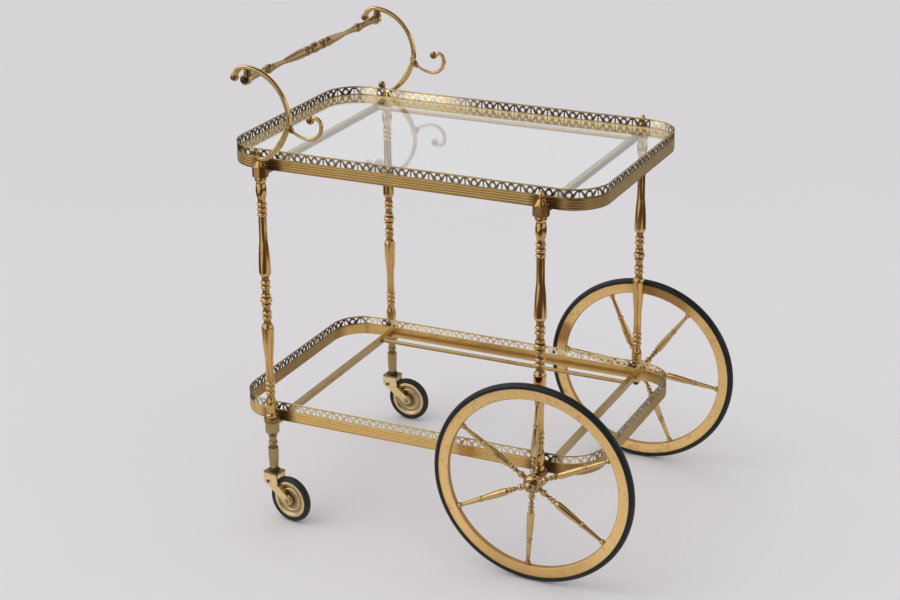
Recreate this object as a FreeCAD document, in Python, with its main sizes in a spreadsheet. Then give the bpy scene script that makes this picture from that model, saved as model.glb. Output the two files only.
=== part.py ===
import FreeCAD, Part
import os
import re
import Sketcher

# Bar cart: two oblong trays on four turned legs, two spoked wheels, two swivel casters and
# a bar handle on scroll brackets.
# Frame: millimetres, floor at Z = 0, +Z up. The handle end is towards -X, the large wheels
# are towards +X and the front is towards -Y. The origin is on the floor below the middle of
# the cart's own box.

SIZES = {
    # Trays
    "tray_length": 600,
    "tray_depth": 378,
    "tray_corner": 57,
    "tray_spacing": 409.5,
    # Reeded band round each tray
    "band_height": 17.5,
    "band_wall": 2.6,
    "band_lip": 1.2,
    "reed_depth": 0.7,
    # Pierced gallery on the band
    "gallery_height": 14,
    "gallery_wall": 1.3,
    "gallery_inset": 0.6,
    "gallery_top_edge": 2.2,
    "gallery_foot_edge": 1.0,
    "gallery_post": 1.9,
    "eyelet_diameter": 6.8,
    "eyelet_height": 5.2,
    "long_side_units": 17,
    "short_side_units": 9,
    "corner_units": 3,
    # Glass and what carries it
    "glass_thickness": 5,
    "glass_clearance": 1.2,
    "glass_bevel": 0.8,
    "ledge_reach": 4,
    "ledge_thickness": 1.6,
    "crossbar_width": 9,
    "crossbar_height": 9,
    "rail_diameter": 6.5,
    "rail_inset": 22,
    "tie_rod_diameter": 4,
    "tie_rod_clearance": 0.1,
    "tie_rod_grip": 7,
    # Legs
    "leg_pitch": 450,
    "leg_stand_off": 18,
    "collar_rise": 5.2,
    "collar_diameter": 25,
    "collar_height": 7,
    "collar_edge": 1.2,
    "capital_width": 22.5,
    "capital_height": 18,
    "capital_drop": 5.5,
    "capital_edge": 1.5,
    "crown_height": 7,
    "crown_foot_diameter": 18.5,
    "crown_top_diameter": 10,
    "stud_diameter": 6,
    "stud_clearance": 0.05,
    "stud_grip": 18,
    "stud_end_gap": 1,
    # Turned spindle between the trays
    "middle_ring_diameter": 16.8,
    "middle_ring_height": 6.6,
    "neck_diameter": 11.8,
    "bead_diameter": 15.4,
    "bead_height": 5,
    "bead_gap": 3,
    "inner_neck_length": 8.5,
    "shoulder_neck_length": 6.4,
    "shoulder_height": 6.5,
    "belly_diameter": 18.3,
    "belly_length": 52,
    "slim_diameter": 12.2,
    "end_neck_length": 7,
    "end_belly_foot_diameter": 13,
    "end_belly_diameter": 16.4,
    "end_belly_length": 27,
    "end_ring_diameter": 15,
    "end_ring_height": 6,
    # Radius of the flat in which a turned dome ends
    "dome_tip": 0.5,
    # Finials on the wheel end legs
    "finial_height": 12,
    "finial_diameter": 9,
    "finial_neck_diameter": 6.6,
    # Turned feet on the handle end legs
    "cup_diameter": 22.4,
    "cup_height": 14.6,
    "cup_taper_height": 10.4,
    "foot_neck_diameter": 12,
    "foot_neck_length": 8.4,
    "foot_bead_diameter": 14.6,
    "foot_belly_diameter": 16.4,
    "foot_end_diameter": 13.8,
    "socket_depth": 28,
    # Axle blocks on the wheel end legs
    "axle_block_diameter": 20,
    "axle_block_drop": 12,
    "leg_plug_diameter": 11,
    "leg_plug_height": 8,
    "leg_plug_pin_diameter": 4.6,
    "leg_plug_pin_length": 5,
    "leg_plug_pin_gap": 0.5,
    # Large wheels
    "wheel_diameter": 316,
    "wheel_stand_off": 24,
    "axle_diameter": 8,
    "axle_running_clearance": 0.05,
    "axle_shoulder_diameter": 10,
    "axle_thread_diameter": 6,
    "axle_thread_length": 8,
    "hub_diameter": 28,
    "hub_end_diameter": 19,
    "hub_width": 16,
    "hub_side_clearance": 0.3,
    "axle_nut_diameter": 18,
    "axle_nut_height": 11,
    "axle_nut_edge": 1,
    "tyre_tread": 8,
    "rim_face": 16,
    "rim_width": 9,
    "rim_edge": 1.2,
    "wheel_tyre_width": 11.5,
    "spoke_count": 6,
    "spoke_tenon_diameter": 5,
    "spoke_tenon_length": 5,
    "spoke_clearance": 0.02,
    "spoke_neck_diameter": 6.6,
    "spoke_slim_diameter": 5.8,
    "spoke_bead_diameter": 9.2,
    "spoke_bead_height": 5.4,
    "spoke_bead_reach": 6.5,
    "spoke_root_length": 12.5,
    "spoke_belly_diameter": 10.8,
    "spoke_belly_length": 48.6,
    "spoke_ring_diameter": 8.6,
    "spoke_ring_height": 3.6,
    "front_wheel_turn": 57,
    "rear_wheel_turn": 24,
    # Casters
    "caster_wheel_diameter": 75,
    "caster_trail": 32,
    "front_swivel": 10,
    "rear_swivel": 2,
    "stem_diameter": 8,
    "stem_running_clearance": 0.05,
    "stem_collar_diameter": 17,
    "stem_collar_height": 5,
    "stem_collar_edge": 1,
    "swivel_clearance": 0.3,
    "fork_top_height": 78.6,
    "fork_sheet": 2.4,
    "fork_width": 22,
    "fork_plate_half_length": 13,
    "fork_plate_depth": 19,
    "fork_arm_half_width": 6.5,
    "caster_axle_diameter": 6,
    "caster_axle_head_diameter": 9.4,
    "caster_axle_head_height": 1.6,
    "caster_hub_diameter": 17,
    "caster_hub_side_clearance": 0.4,
    "caster_disc_diameter": 61,
    "caster_disc_width": 9.5,
    "caster_web_width": 6,
    "caster_web_diameter": 47,
    "caster_web_slope": 2,
    "caster_tyre_width": 11,
    # Handle
    "bar_end_diameter": 8,
    "bar_clearance": 0.05,
    "bar_slim_diameter": 7.6,
    "bar_belly_diameter": 13,
    "bar_bead_diameter": 12.4,
    "bar_bead_height": 5,
    "bar_ring_diameter": 13.4,
    "bar_ring_height": 4.6,
    "bar_end_bead_height": 5,
    "bar_belly_reach": 68,
    "bar_neck_bead_reach": 136,
    "bar_neck_bead_height": 9,
    "bar_neck_bead_gap": 1,
    "eye_rise": 1.8,
    "eye_diameter": 17,
    "eye_width": 9,
    "bar_cap_diameter": 11,
    "bar_cap_length": 6.5,
    "bar_cap_bore": 4,
    "scroll_diameter": 6.6,
    "scroll_foot_reach": 4,
    "scroll_foot_radius": 15,
    "scroll_rise_radius": 102,
    "scroll_bend_radius": 28,
    "scroll_back_radius": 72,
    "scroll_tip_radius": 20,
    "scroll_foot_turn": 36,
    "scroll_rise_turn": 38,
    "scroll_bend_turn": 16,
    "scroll_back_turn": 86,
    "scroll_tip_turn": 84,
    "scroll_heel_radius": 12,
    "scroll_heel_turn": 78,
    "scroll_ball_diameter": 10.4,
    "branch_diameter": 5,
    "branch_low_reach": 85,
    "branch_rise": 38.7,
    "branch_root_radius": 46,
    "branch_root_turn": 44,
    "branch_bowl_radius": 21,
    "branch_bowl_turn": 100,
    "branch_curl_radius": 10,
    "branch_curl_turn": 130,
    "branch_ball_diameter": 8.4,
    "branch_leaf_diameter": 9.6,
}

# Shares of one gallery unit's width and height, from its left post and its foot
FOOT_CORNER = 0.25
FOOT_HOLE_TOP = 0.66
FOOT_HOLE_TOP_CORNER = 0.115
HEAD_HOLE_START = 0.125
HEAD_HOLE_END = 0.41
HEAD_HOLE_POINT = 0.295
HEAD_HOLE_POINT_HEIGHT = 0.47

VERTICAL = FreeCAD.Vector(0, 0, 1)
DOWNWARD = FreeCAD.Vector(0, 0, -1)
ALONG_X = FreeCAD.Vector(1, 0, 0)
ALONG_Y = FreeCAD.Vector(0, 1, 0)
TOWARDS_FRONT = FreeCAD.Vector(0, -1, 0)

# How far a quarter round bulges from its chord, as a share of its radius
QUARTER_SAG = "(1 - cos(45 deg))"

# Places that several pieces share
TRAY_X = "(tray_length / 2 - leg_pitch / 2 - wheel_diameter / 2) / 2"
HANDLE_LEG_X = f"{TRAY_X} - leg_pitch / 2"
WHEEL_LEG_X = f"{TRAY_X} + leg_pitch / 2"
LEG_Y = "(tray_depth / 2 + leg_stand_off)"
WHEEL_Y = f"({LEG_Y} + wheel_stand_off)"
AXLE_HEIGHT = "(wheel_diameter / 2)"
UPPER_TRAY_HEIGHT = f"({AXLE_HEIGHT} + tray_spacing)"
COLLAR_FOOT = f"({AXLE_HEIGHT} + collar_rise)"
COLLAR_TOP = f"({COLLAR_FOOT} + collar_height)"
CAPITAL_FOOT = f"({UPPER_TRAY_HEIGHT} - capital_drop)"
CROWN_TOP = f"({CAPITAL_FOOT} + capital_height + crown_height)"
SPINDLE_HALF = f"(({CAPITAL_FOOT} - {COLLAR_TOP}) / 2)"
STUD_HOLE = "(stud_diameter / 2 + stud_clearance)"
TIE_HOLE = "(tie_rod_diameter + 2 * tie_rod_clearance)"
CASTER_COLLAR_TOP = "(fork_top_height + stem_collar_height)"
FOOT_END = f"({CASTER_COLLAR_TOP} + swivel_clearance)"
SCROLL_FOOT = f"({CROWN_TOP} + scroll_diameter / 2)"
RIM_OUTER = "(wheel_diameter / 2 - tyre_tread)"
RIM_INNER = f"({RIM_OUTER} - rim_face)"
CAPITAL_SIDES = 8
CAPITAL_TURN = 180 / CAPITAL_SIDES
SIDES = {"front": -1, "rear": 1}
LEG_ENDS = {"handle": HANDLE_LEG_X, "wheel": WHEEL_LEG_X}
TRAYS = {"lower": AXLE_HEIGHT, "upper": UPPER_TRAY_HEIGHT}
LOWER_LEG_DIAMETERS = {"handle": "cup_diameter", "wheel": "axle_block_diameter"}

doc = FreeCAD.newDocument("BarCart")
sheet = doc.addObject("Spreadsheet::Sheet", "Sizes")
for row, (alias, value) in enumerate(SIZES.items(), start=1):
    sheet.set(f"A{row}", alias)
    sheet.set(f"B{row}", str(value))
    sheet.setAlias(f"B{row}", alias)
doc.recompute()

nodes = []


# Binding to the sheet


def tied(words):
    """An expression in which each size name points at its cell in the sheet."""
    return re.sub(r"[a-z_]+", lambda name: f"Sizes.{name[0]}" if name[0] in SIZES else name[0], words)


def size(words):
    """The number that an expression of size names has now."""
    return float(sheet.evalExpression(tied(words)))


def bind(item, **links):
    for place, words in links.items():
        item.setExpression(place, tied(words))


def place(item, x="0", y="0", z="0", axis=VERTICAL, turn=0):
    """Turn an item by a fixed angle and tie its position to the sheet."""
    item.Placement = FreeCAD.Placement(FreeCAD.Vector(), FreeCAD.Rotation(axis, turn))
    for letter, words in zip("xyz", (x, y, z)):
        item.setExpression(f"Placement.Base.{letter}", tied(words))


def swing(item, x, y, z, axis, angle):
    """Tie an item's position and its turn about an axis to the sheet."""
    place(item, x, y, z, axis, size(angle))
    item.setExpression("Placement.Rotation.Angle", tied(f"({angle}) * 1 deg"))


def keep(item, label):
    """Name an item as one piece of the cart."""
    item.Label = label
    nodes.append(item)
    return item


def copy_of(item, name):
    """Another piece of the same shape, to be placed by itself."""
    twin = doc.addObject("Part::Compound", name)
    twin.Links = [item]
    return twin


def group(label, items):
    """One node that holds several separate pieces."""
    pieces = doc.addObject("Part::Compound", label)
    pieces.Links = items
    return keep(pieces, label)


# Sketches


def new_body(name):
    return doc.addObject("PartDesign::Body", f"{name}_body")


def new_sketch(body, name, role):
    sketch = body.newObject("Sketcher::SketchObject", name)
    sketch.AttachmentSupport = (origin_plane(body, role), [""])
    sketch.MapMode = "FlatFace"
    return sketch


def point_rules(edge, spot, across, up):
    """The rules that tie one sketch point to its two distances from the sketch origin."""
    rules = []
    for kind, words, axis in (("DistanceX", across, -2), ("DistanceY", up, -1)):
        if words == "0":
            rules.append((Sketcher.Constraint("PointOnObject", edge, spot, axis), None))
        else:
            rules.append((Sketcher.Constraint(kind, -1, 1, edge, spot, size(words)), words))
    return rules


def size_rule(kind, edge, words):
    """The rule that ties the radius, diameter or angle of one sketch edge to the sheet."""
    return Sketcher.Constraint(kind, edge, size(words)), words


def add_rules(sketch, rules):
    numbers = sketch.addConstraint([rule for rule, words in rules])
    for number, (rule, words) in zip(numbers, rules):
        if words:
            sketch.setExpression(f"Constraints[{number}]", tied(words))


def bowed(start, end, sag):
    """The arc from start to end that bulges by sag to the right of the way there."""
    way = end - start
    right = FreeCAD.Vector(way.y, -way.x, 0).normalize()
    return Part.Arc(start, (start + end) * 0.5 + right * sag, end)


def draw_outline(sketch, stops):
    """A closed outline through stops (across, up) or (across, up, sag), each tied to the sheet.
    A stop's sag is how far the edge that reaches it bulges to the right of its way."""
    corners = [FreeCAD.Vector(size(stop[0]), size(stop[1]), 0) for stop in stops]
    ends = []
    rules = []
    for number, stop in enumerate(stops):
        start, end = corners[number - 1], corners[number]
        is_arc = len(stop) == 3
        shape = bowed(start, end, size(stop[2])) if is_arc else Part.LineSegment(start, end)
        edge = sketch.addGeometry(shape, False)
        forward = sketch.getPoint(edge, 1).isEqual(start, 1e-5)
        ends.append((edge, 1, 2) if forward else (edge, 2, 1))
        rules += point_rules(edge, ends[-1][2], stop[0], stop[1])
    for number, stop in enumerate(stops):
        before, after = ends[number - 1], ends[number]
        rules.append((Sketcher.Constraint("Coincident", before[0], before[2], after[0], after[1]), None))
        if len(stop) == 3:
            last = stops[number - 1]
            chord = f"(({stop[0]} - ({last[0]}))^2 + ({stop[1]} - ({last[1]}))^2)"
            rules.append(size_rule("Radius", after[0],
                                   f"({chord} / 4 + ({stop[2]})^2) / (2 * abs({stop[2]}))"))
    add_rules(sketch, rules)


def draw_circle(sketch, across, up, diameter):
    centre = FreeCAD.Vector(size(across), size(up), 0)
    edge = sketch.addGeometry(Part.Circle(centre, VERTICAL, size(diameter) / 2), False)
    add_rules(sketch, point_rules(edge, 3, across, up) + [size_rule("Diameter", edge, diameter)])


# Features


def pad(body, sketch, length, midplane=False):
    feature = body.newObject("PartDesign::Pad", f"{sketch.Name}_pad")
    feature.Profile = sketch
    feature.Midplane = midplane
    bind(feature, Length=length)
    return feature


def cut_through(body, sketch):
    """Cut a sketch's outlines through the whole body, both ways from the sketch."""
    feature = body.newObject("PartDesign::Pocket", f"{sketch.Name}_cut")
    feature.Profile = sketch
    feature.Type = "ThroughAll"
    feature.Midplane = True
    return feature


def turn_on(body, sketch, axis):
    feature = body.newObject("PartDesign::Revolution", f"{sketch.Name}_turned")
    feature.Profile = sketch
    feature.ReferenceAxis = (sketch, [axis])
    feature.Angle = 360
    return feature


def origin_plane(body, role):
    return next(item for item in body.Origin.OriginFeatures if item.Role == role)


def mirror_below(body):
    """Double a body that stands on its own XY plane by its mirror image below that plane."""
    doc.recompute()
    half = body.Tip
    mirrored = body.newObject("PartDesign::Mirrored", f"{body.Name}_mirrored")
    mirrored.Originals = [half]
    mirrored.MirrorPlane = (origin_plane(body, "XY_Plane"), [""])
    body.Tip = mirrored


def turned_upright(name, stops):
    """A body turned about Z from an outline of (radius, height) stops."""
    body = new_body(name)
    sketch = new_sketch(body, f"{name}_outline", "XZ_Plane")
    draw_outline(sketch, stops)
    turn_on(body, sketch, "V_Axis")
    return body


def turned_wheel(name, stops):
    """A body turned about Y from an outline of (distance along Y, radius) stops."""
    body = new_body(name)
    sketch = new_sketch(body, f"{name}_outline", "YZ_Plane")
    draw_outline(sketch, stops)
    turn_on(body, sketch, "H_Axis")
    return body


def cylinder(name, diameter, length):
    item = doc.addObject("Part::Cylinder", name)
    bind(item, Radius=f"({diameter}) / 2", Height=length)
    return item


def cylinder_along_y(name, diameter, start, end, x="0", z="0"):
    """A cylinder that runs along Y from start to end."""
    item = cylinder(name, diameter, f"({end}) - ({start})")
    place(item, x, start, z, ALONG_X, -90)
    return item


def cut(name, base, tool):
    item = doc.addObject("Part::Cut", name)
    item.Base = base
    item.Tool = tool
    return item


def fuse(name, items):
    item = doc.addObject("Part::MultiFuse", name)
    item.Shapes = items
    return item


# Trays


def rounded_oblong(sketch, length, depth, corner):
    """An oblong with rounded corners, drawn counter-clockwise from the middle of its front side."""
    x, y = f"({length}) / 2", f"({depth}) / 2"
    bulge = f"({corner}) * {QUARTER_SAG}"
    draw_outline(sketch, [
        ("0", f"-{y}"),
        (f"{x} - ({corner})", f"-{y}"),
        (x, f"-{y} + ({corner})", bulge),
        (x, f"{y} - ({corner})"),
        (f"{x} - ({corner})", y, bulge),
        (f"-{x} + ({corner})", y),
        (f"-{x}", f"{y} - ({corner})", bulge),
        (f"-{x}", f"-{y} + ({corner})"),
        (f"-{x} + ({corner})", f"-{y}", bulge),
    ])


def make_band(tray, height):
    """Reeded band: its section carried round the tray's outline, notched over the crossbars.
    The upper one has a ledge inside that carries the pane."""
    body = new_body(f"{tray}_band")
    path = new_sketch(body, f"{tray}_band_path", "XY_Plane")
    rounded_oblong(path, "tray_length", "tray_depth", "tray_corner")
    section = new_sketch(body, f"{tray}_band_section", "YZ_Plane")
    face = "-tray_depth / 2"
    root = f"{face} + reed_depth"
    reed_height = "(band_height - 2 * band_lip) / 4"
    stops = [(f"{face} + band_wall", "band_height"), (root, "band_height")]
    for reed in range(4, -1, -1):
        top = f"band_lip + {reed} * {reed_height}"
        stops.append((root, top) if reed == 4 else (root, top, "reed_depth"))
    stops += [(root, "0"), (f"{face} + band_wall", "0")]
    if tray == "upper":
        ledge = "band_height - glass_thickness"
        stops += [
            (f"{face} + band_wall", f"{ledge} - ledge_thickness"),
            (f"{face} + band_wall + ledge_reach", f"{ledge} - ledge_thickness"),
            (f"{face} + band_wall + ledge_reach", ledge),
            (f"{face} + band_wall", ledge),
        ]
    draw_outline(section, stops)
    sweep = body.newObject("PartDesign::AdditivePipe", f"{tray}_band_sweep")
    sweep.Profile = section
    sweep.Spine = (path, [f"Edge{number}" for number in range(1, 10)])
    doc.recompute()
    notches = new_sketch(body, f"{tray}_band_notches", "XZ_Plane")
    for side in ("-1", "1"):
        left = f"{side} * leg_pitch / 2 - crossbar_width / 2"
        right = f"{side} * leg_pitch / 2 + crossbar_width / 2"
        draw_outline(notches, [
            (left, "-crossbar_height / 2"),
            (right, "-crossbar_height / 2"),
            (right, "crossbar_height / 2"),
            (left, "crossbar_height / 2"),
        ])
    cut_through(body, notches)
    place(body, TRAY_X, "0", height)
    keep(body, f"{tray}_band")


def draw_gallery_unit(sketch, start, unit):
    """The openings of one gallery unit: two foot holes by the posts, two head holes and an eyelet."""
    foot = "gallery_foot_edge"
    head = "(gallery_height - gallery_top_edge)"
    post = "gallery_post / 2"

    def spot(share, mirrored):
        across = f"{share} * {unit}"
        return f"{start} + {unit} - {across}" if mirrored else f"{start} + {across}"

    for mirrored in (False, True):
        by_post = f"{start} + {unit} - {post}" if mirrored else f"{start} + {post}"
        draw_outline(sketch, [
            (by_post, foot),
            (spot(FOOT_CORNER, mirrored), foot),
            (spot(FOOT_HOLE_TOP_CORNER, mirrored), f"{FOOT_HOLE_TOP} * gallery_height"),
            (by_post, f"{FOOT_HOLE_TOP} * gallery_height"),
        ])
        draw_outline(sketch, [
            (spot(HEAD_HOLE_START, mirrored), head),
            (spot(HEAD_HOLE_POINT, mirrored), f"{HEAD_HOLE_POINT_HEIGHT} * gallery_height"),
            (spot(HEAD_HOLE_END, mirrored), head),
        ])
    draw_circle(sketch, f"{start} + {unit} / 2", "eyelet_height", "eyelet_diameter")


def make_gallery_side(name, length, units):
    """A straight pierced strip, its length along X, standing on Z = 0."""
    body = new_body(name)
    outline = new_sketch(body, f"{name}_outline", "XZ_Plane")
    half = f"({length}) / 2"
    draw_outline(outline, [
        (f"-{half}", "0"),
        (half, "0"),
        (half, "gallery_height"),
        (f"-{half}", "gallery_height"),
    ])
    pad(body, outline, "gallery_wall", midplane=True)
    unit = f"(({length}) / {units})"
    holes = new_sketch(body, f"{name}_unit", "XZ_Plane")
    draw_gallery_unit(holes, f"-{half}", unit)
    pierced = cut_through(body, holes)
    doc.recompute()
    repeat = body.newObject("PartDesign::LinearPattern", f"{name}_units")
    repeat.Originals = [pierced]
    repeat.Direction = (holes, ["H_Axis"])
    bind(repeat, Length=f"({length}) - {unit}", Occurrences=units)
    body.Tip = repeat
    return body


GALLERY_FACE = "gallery_inset + gallery_wall / 2"
CORNER_STEP = "(90 / corner_units)"


def make_gallery_corner(name):
    """A quarter of a pierced ring about Z whose first unit is centred on +X."""
    body = new_body(name)
    section = new_sketch(body, f"{name}_section", "XZ_Plane")
    outer = "tray_corner - gallery_inset"
    inner = f"{outer} - gallery_wall"
    draw_outline(section, [
        (inner, "0"),
        (outer, "0"),
        (outer, "gallery_height"),
        (inner, "gallery_height"),
    ])
    ring = body.newObject("PartDesign::Revolution", f"{name}_ring")
    ring.Profile = section
    ring.ReferenceAxis = (section, ["V_Axis"])
    ring.Type = "TwoAngles"
    bind(ring, Angle=f"90 deg - {CORNER_STEP} / 2 * 1 deg", Angle2=f"{CORNER_STEP} / 2 * 1 deg")
    doc.recompute()
    unit = f"(({outer} - gallery_wall / 2) * 2 * tan({CORNER_STEP} / 2 * 1 deg))"
    holes = new_sketch(body, f"{name}_unit", "YZ_Plane")
    draw_gallery_unit(holes, f"-{unit} / 2", unit)
    pierced = cut_through(body, holes)
    doc.recompute()
    repeat = body.newObject("PartDesign::PolarPattern", f"{name}_units")
    repeat.Originals = [pierced]
    repeat.Axis = (section, ["V_Axis"])
    bind(repeat, Angle=f"(90 - {CORNER_STEP}) * 1 deg", Occurrences="corner_units")
    body.Tip = repeat
    return body


def make_gallery(tray, height, long_side, short_side, corner):
    """Pierced gallery: two long sides, two short sides and four rounded corners on the band."""
    foot = f"{height} + band_height"
    out_x = f"(tray_length / 2 - ({GALLERY_FACE}))"
    out_y = f"(tray_depth / 2 - ({GALLERY_FACE}))"
    long_sides = []
    short_sides = []
    for side, sign in SIDES.items():
        long_sides.append(copy_of(long_side, f"{tray}_gallery_long_{side}"))
        place(long_sides[-1], TRAY_X, f"{sign} * {out_y}", foot)
        short_sides.append(copy_of(short_side, f"{tray}_gallery_short_{side}"))
        place(short_sides[-1], f"{TRAY_X} + {sign} * {out_x}", "0", foot, VERTICAL, 90)
    group(f"{tray}_gallery_long_sides", long_sides)
    group(f"{tray}_gallery_short_sides", short_sides)
    corners = []
    for quarter, (side_x, side_y) in enumerate(((1, 1), (-1, 1), (-1, -1), (1, -1))):
        corners.append(copy_of(corner, f"{tray}_gallery_corner_{quarter}"))
        swing(corners[-1], f"{TRAY_X} + {side_x} * (tray_length / 2 - tray_corner)",
              f"{side_y} * (tray_depth / 2 - tray_corner)", foot, VERTICAL,
              f"{90 * quarter} + {CORNER_STEP} / 2")
    group(f"{tray}_gallery_corners", corners)


def make_glass():
    """Clear pane with softened edges, lying on the upper band's ledge."""
    name = "upper_glass"
    body = new_body(name)
    outline = new_sketch(body, f"{name}_outline", "XY_Plane")
    gap = "2 * (band_wall + glass_clearance)"
    rounded_oblong(outline, f"tray_length - {gap}", f"tray_depth - {gap}",
                   "tray_corner - band_wall - glass_clearance")
    pane = pad(body, outline, "glass_thickness")
    doc.recompute()
    level = [f"Edge{number}" for number, edge in enumerate(pane.Shape.Edges, start=1)
             if edge.BoundBox.ZLength < size("glass_bevel")]
    softened = body.newObject("PartDesign::Chamfer", f"{name}_softened")
    softened.Base = (pane, level)
    bind(softened, Size="glass_bevel")
    place(body, TRAY_X, "0", f"{UPPER_TRAY_HEIGHT} + band_height - glass_thickness")
    keep(body, name)


def make_crossbar(tray, end, x, height):
    """Square bar from leg to leg across a tray, bored for its tie rod. A lower one has
    hollowed ends that fit the round leg pieces."""
    name = f"{tray}_crossbar_{end}"
    half = LEG_Y if tray == "lower" else f"({LEG_Y} - capital_width / 2)"
    bar = doc.addObject("Part::Box", f"{name}_bar")
    bind(bar, Length="crossbar_width", Width=f"2 * {half}", Height="crossbar_height")
    place(bar, f"{x} - crossbar_width / 2", f"-{half}", f"{height} - crossbar_height / 2")
    tool = cylinder_along_y(f"{name}_bore", TIE_HOLE, f"-{half}", half, x, height)
    if tray == "lower":
        ends = []
        for side, sign in SIDES.items():
            ends.append(cylinder(f"{name}_end_{side}", LOWER_LEG_DIAMETERS[end], "2 * crossbar_height"))
            place(ends[-1], x, f"{sign} * {LEG_Y}", f"{height} - crossbar_height")
        tool = fuse(f"{name}_tools", [tool] + ends)
    keep(cut(name, bar, tool), name)


def make_rail(tray, side, height):
    """Round rail between the two crossbars of a tray."""
    name = f"{tray}_rail_{side}"
    rail = cylinder(name, "rail_diameter", "leg_pitch - crossbar_width")
    y = f"{SIDES[side]} * (tray_depth / 2 - rail_inset)"
    place(rail, f"{HANDLE_LEG_X} + crossbar_width / 2", y, height, ALONG_Y, 90)
    keep(rail, name)


def make_trays():
    long_side = make_gallery_side("gallery_long", "tray_length - 2 * tray_corner", "long_side_units")
    short_side = make_gallery_side("gallery_short", "tray_depth - 2 * tray_corner", "short_side_units")
    corner = make_gallery_corner("gallery_corner")
    for tray, height in TRAYS.items():
        make_band(tray, height)
        make_gallery(tray, height, long_side, short_side, corner)
        for end, x in LEG_ENDS.items():
            make_crossbar(tray, end, x, height)
        for side in SIDES:
            make_rail(tray, side, height)
    make_glass()


def make_ties():
    """Long tie rods through the crossbars, each gripping the leg pieces at its two ends."""
    rods = []
    for tray, height in TRAYS.items():
        for end, x in LEG_ENDS.items():
            leg_width = LOWER_LEG_DIAMETERS[end] if tray == "lower" else "capital_width"
            reach = f"({LEG_Y} - {leg_width} / 2 + tie_rod_grip - stud_end_gap)"
            rods.append(cylinder_along_y(f"tie_rod_{tray}_{end}", "tie_rod_diameter",
                                         f"-{reach}", reach, x, height))
    group("tie_rods", rods)


# Legs


def make_spindle(name):
    """Turned column between the trays, the same above and below its middle ring."""
    neck = "neck_diameter / 2"
    swell = "(bead_diameter - neck_diameter) / 2"
    stops = [("0", "0"), ("middle_ring_diameter / 2", "0")]
    level = "middle_ring_height / 2"
    stops += [("middle_ring_diameter / 2", level), (neck, level)]
    for gap in ("bead_gap / 2", "inner_neck_length", "bead_gap"):
        level = f"{level} + {gap}"
        stops.append((neck, level))
        level = f"{level} + bead_height"
        stops.append((neck, level, swell))
    level = f"{level} + shoulder_neck_length"
    stops.append((neck, level))
    level = f"{level} + shoulder_height"
    stops.append(("belly_diameter / 2", level, "shoulder_height / 6"))
    level = f"{level} + belly_length"
    stops.append(("slim_diameter / 2", level, "belly_length / 90"))
    end_length = "(end_neck_length + end_belly_length + end_ring_height)"
    level = f"({SPINDLE_HALF} - {end_length} - 3 * bead_height - 2 * bead_gap)"
    stops.append(("slim_diameter / 2", level))
    stops.append((neck, level))
    for number in range(3):
        level = f"{level} + bead_height"
        stops.append((neck, level, swell))
        if number < 2:
            level = f"{level} + bead_gap"
            stops.append((neck, level))
    level = f"({SPINDLE_HALF} - end_ring_height - end_belly_length)"
    stops.append((neck, level))
    stops.append(("end_belly_foot_diameter / 2", level))
    level = f"({SPINDLE_HALF} - end_ring_height)"
    stops.append(("end_belly_diameter / 2", level, "end_belly_length / 40"))
    stops.append((neck, level))
    stops.append((neck, SPINDLE_HALF, "(end_ring_diameter - neck_diameter) / 2"))
    stops.append((STUD_HOLE, SPINDLE_HALF))
    stops.append((STUD_HOLE, f"{SPINDLE_HALF} - stud_grip"))
    stops.append(("0", f"{SPINDLE_HALF} - stud_grip"))
    body = turned_upright(name, stops)
    mirror_below(body)
    return body


def cross_hole(name, face, height):
    """Blind hole for a tie rod, running out along +Y through the face of a leg piece about Z."""
    return cylinder_along_y(f"{name}_cross_hole", TIE_HOLE, f"{face} - tie_rod_grip", f"2 * {face}",
                            "0", height)


def make_capital(name, x, y, turn):
    """Eight-sided block at the upper tray with a sloping crown, bored for its stud."""
    block = doc.addObject("Part::Prism", f"{name}_block")
    block.Polygon = CAPITAL_SIDES
    half = f"capital_width / 2 / cos({CAPITAL_TURN} deg)"
    bind(block, Circumradius=half, Height="capital_height")
    place(block, "0", "0", "0", VERTICAL, CAPITAL_TURN)
    envelope = turned_upright(f"{name}_envelope", [
        ("0", "0"),
        (f"{half} - capital_edge", "0"),
        (half, "capital_edge"),
        (half, "capital_height - capital_edge"),
        (f"{half} - capital_edge", "capital_height"),
        ("0", "capital_height"),
    ])
    eased = doc.addObject("Part::Common", f"{name}_eased")
    eased.Base = block
    eased.Tool = envelope
    crown = doc.addObject("Part::Cone", f"{name}_crown")
    bind(crown, Radius1="crown_foot_diameter / 2", Radius2="crown_top_diameter / 2", Height="crown_height")
    place(crown, "0", "0", "capital_height")
    solid = fuse(f"{name}_solid", [eased, crown])
    bore = cylinder(f"{name}_bore", f"2 * {STUD_HOLE}", "capital_height + crown_height")
    hole = cross_hole(name, "capital_width / 2", "capital_drop")
    capital = cut(name, solid, fuse(f"{name}_holes", [bore, hole]))
    place(capital, x, y, CAPITAL_FOOT, VERTICAL, turn)
    keep(capital, name)


def make_collar(name, x, y):
    """Round collar above the lower crossbar, bored for the stud of the piece below it."""
    edge = "collar_diameter / 2"
    collar = turned_upright(name, [
        (STUD_HOLE, "0"),
        (f"{edge} - collar_edge", "0"),
        (edge, "collar_edge", f"collar_edge * {QUARTER_SAG}"),
        (edge, "collar_height - collar_edge"),
        (f"{edge} - collar_edge", "collar_height", f"collar_edge * {QUARTER_SAG}"),
        (STUD_HOLE, "collar_height"),
    ])
    place(collar, x, y, COLLAR_FOOT)
    return collar


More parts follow.
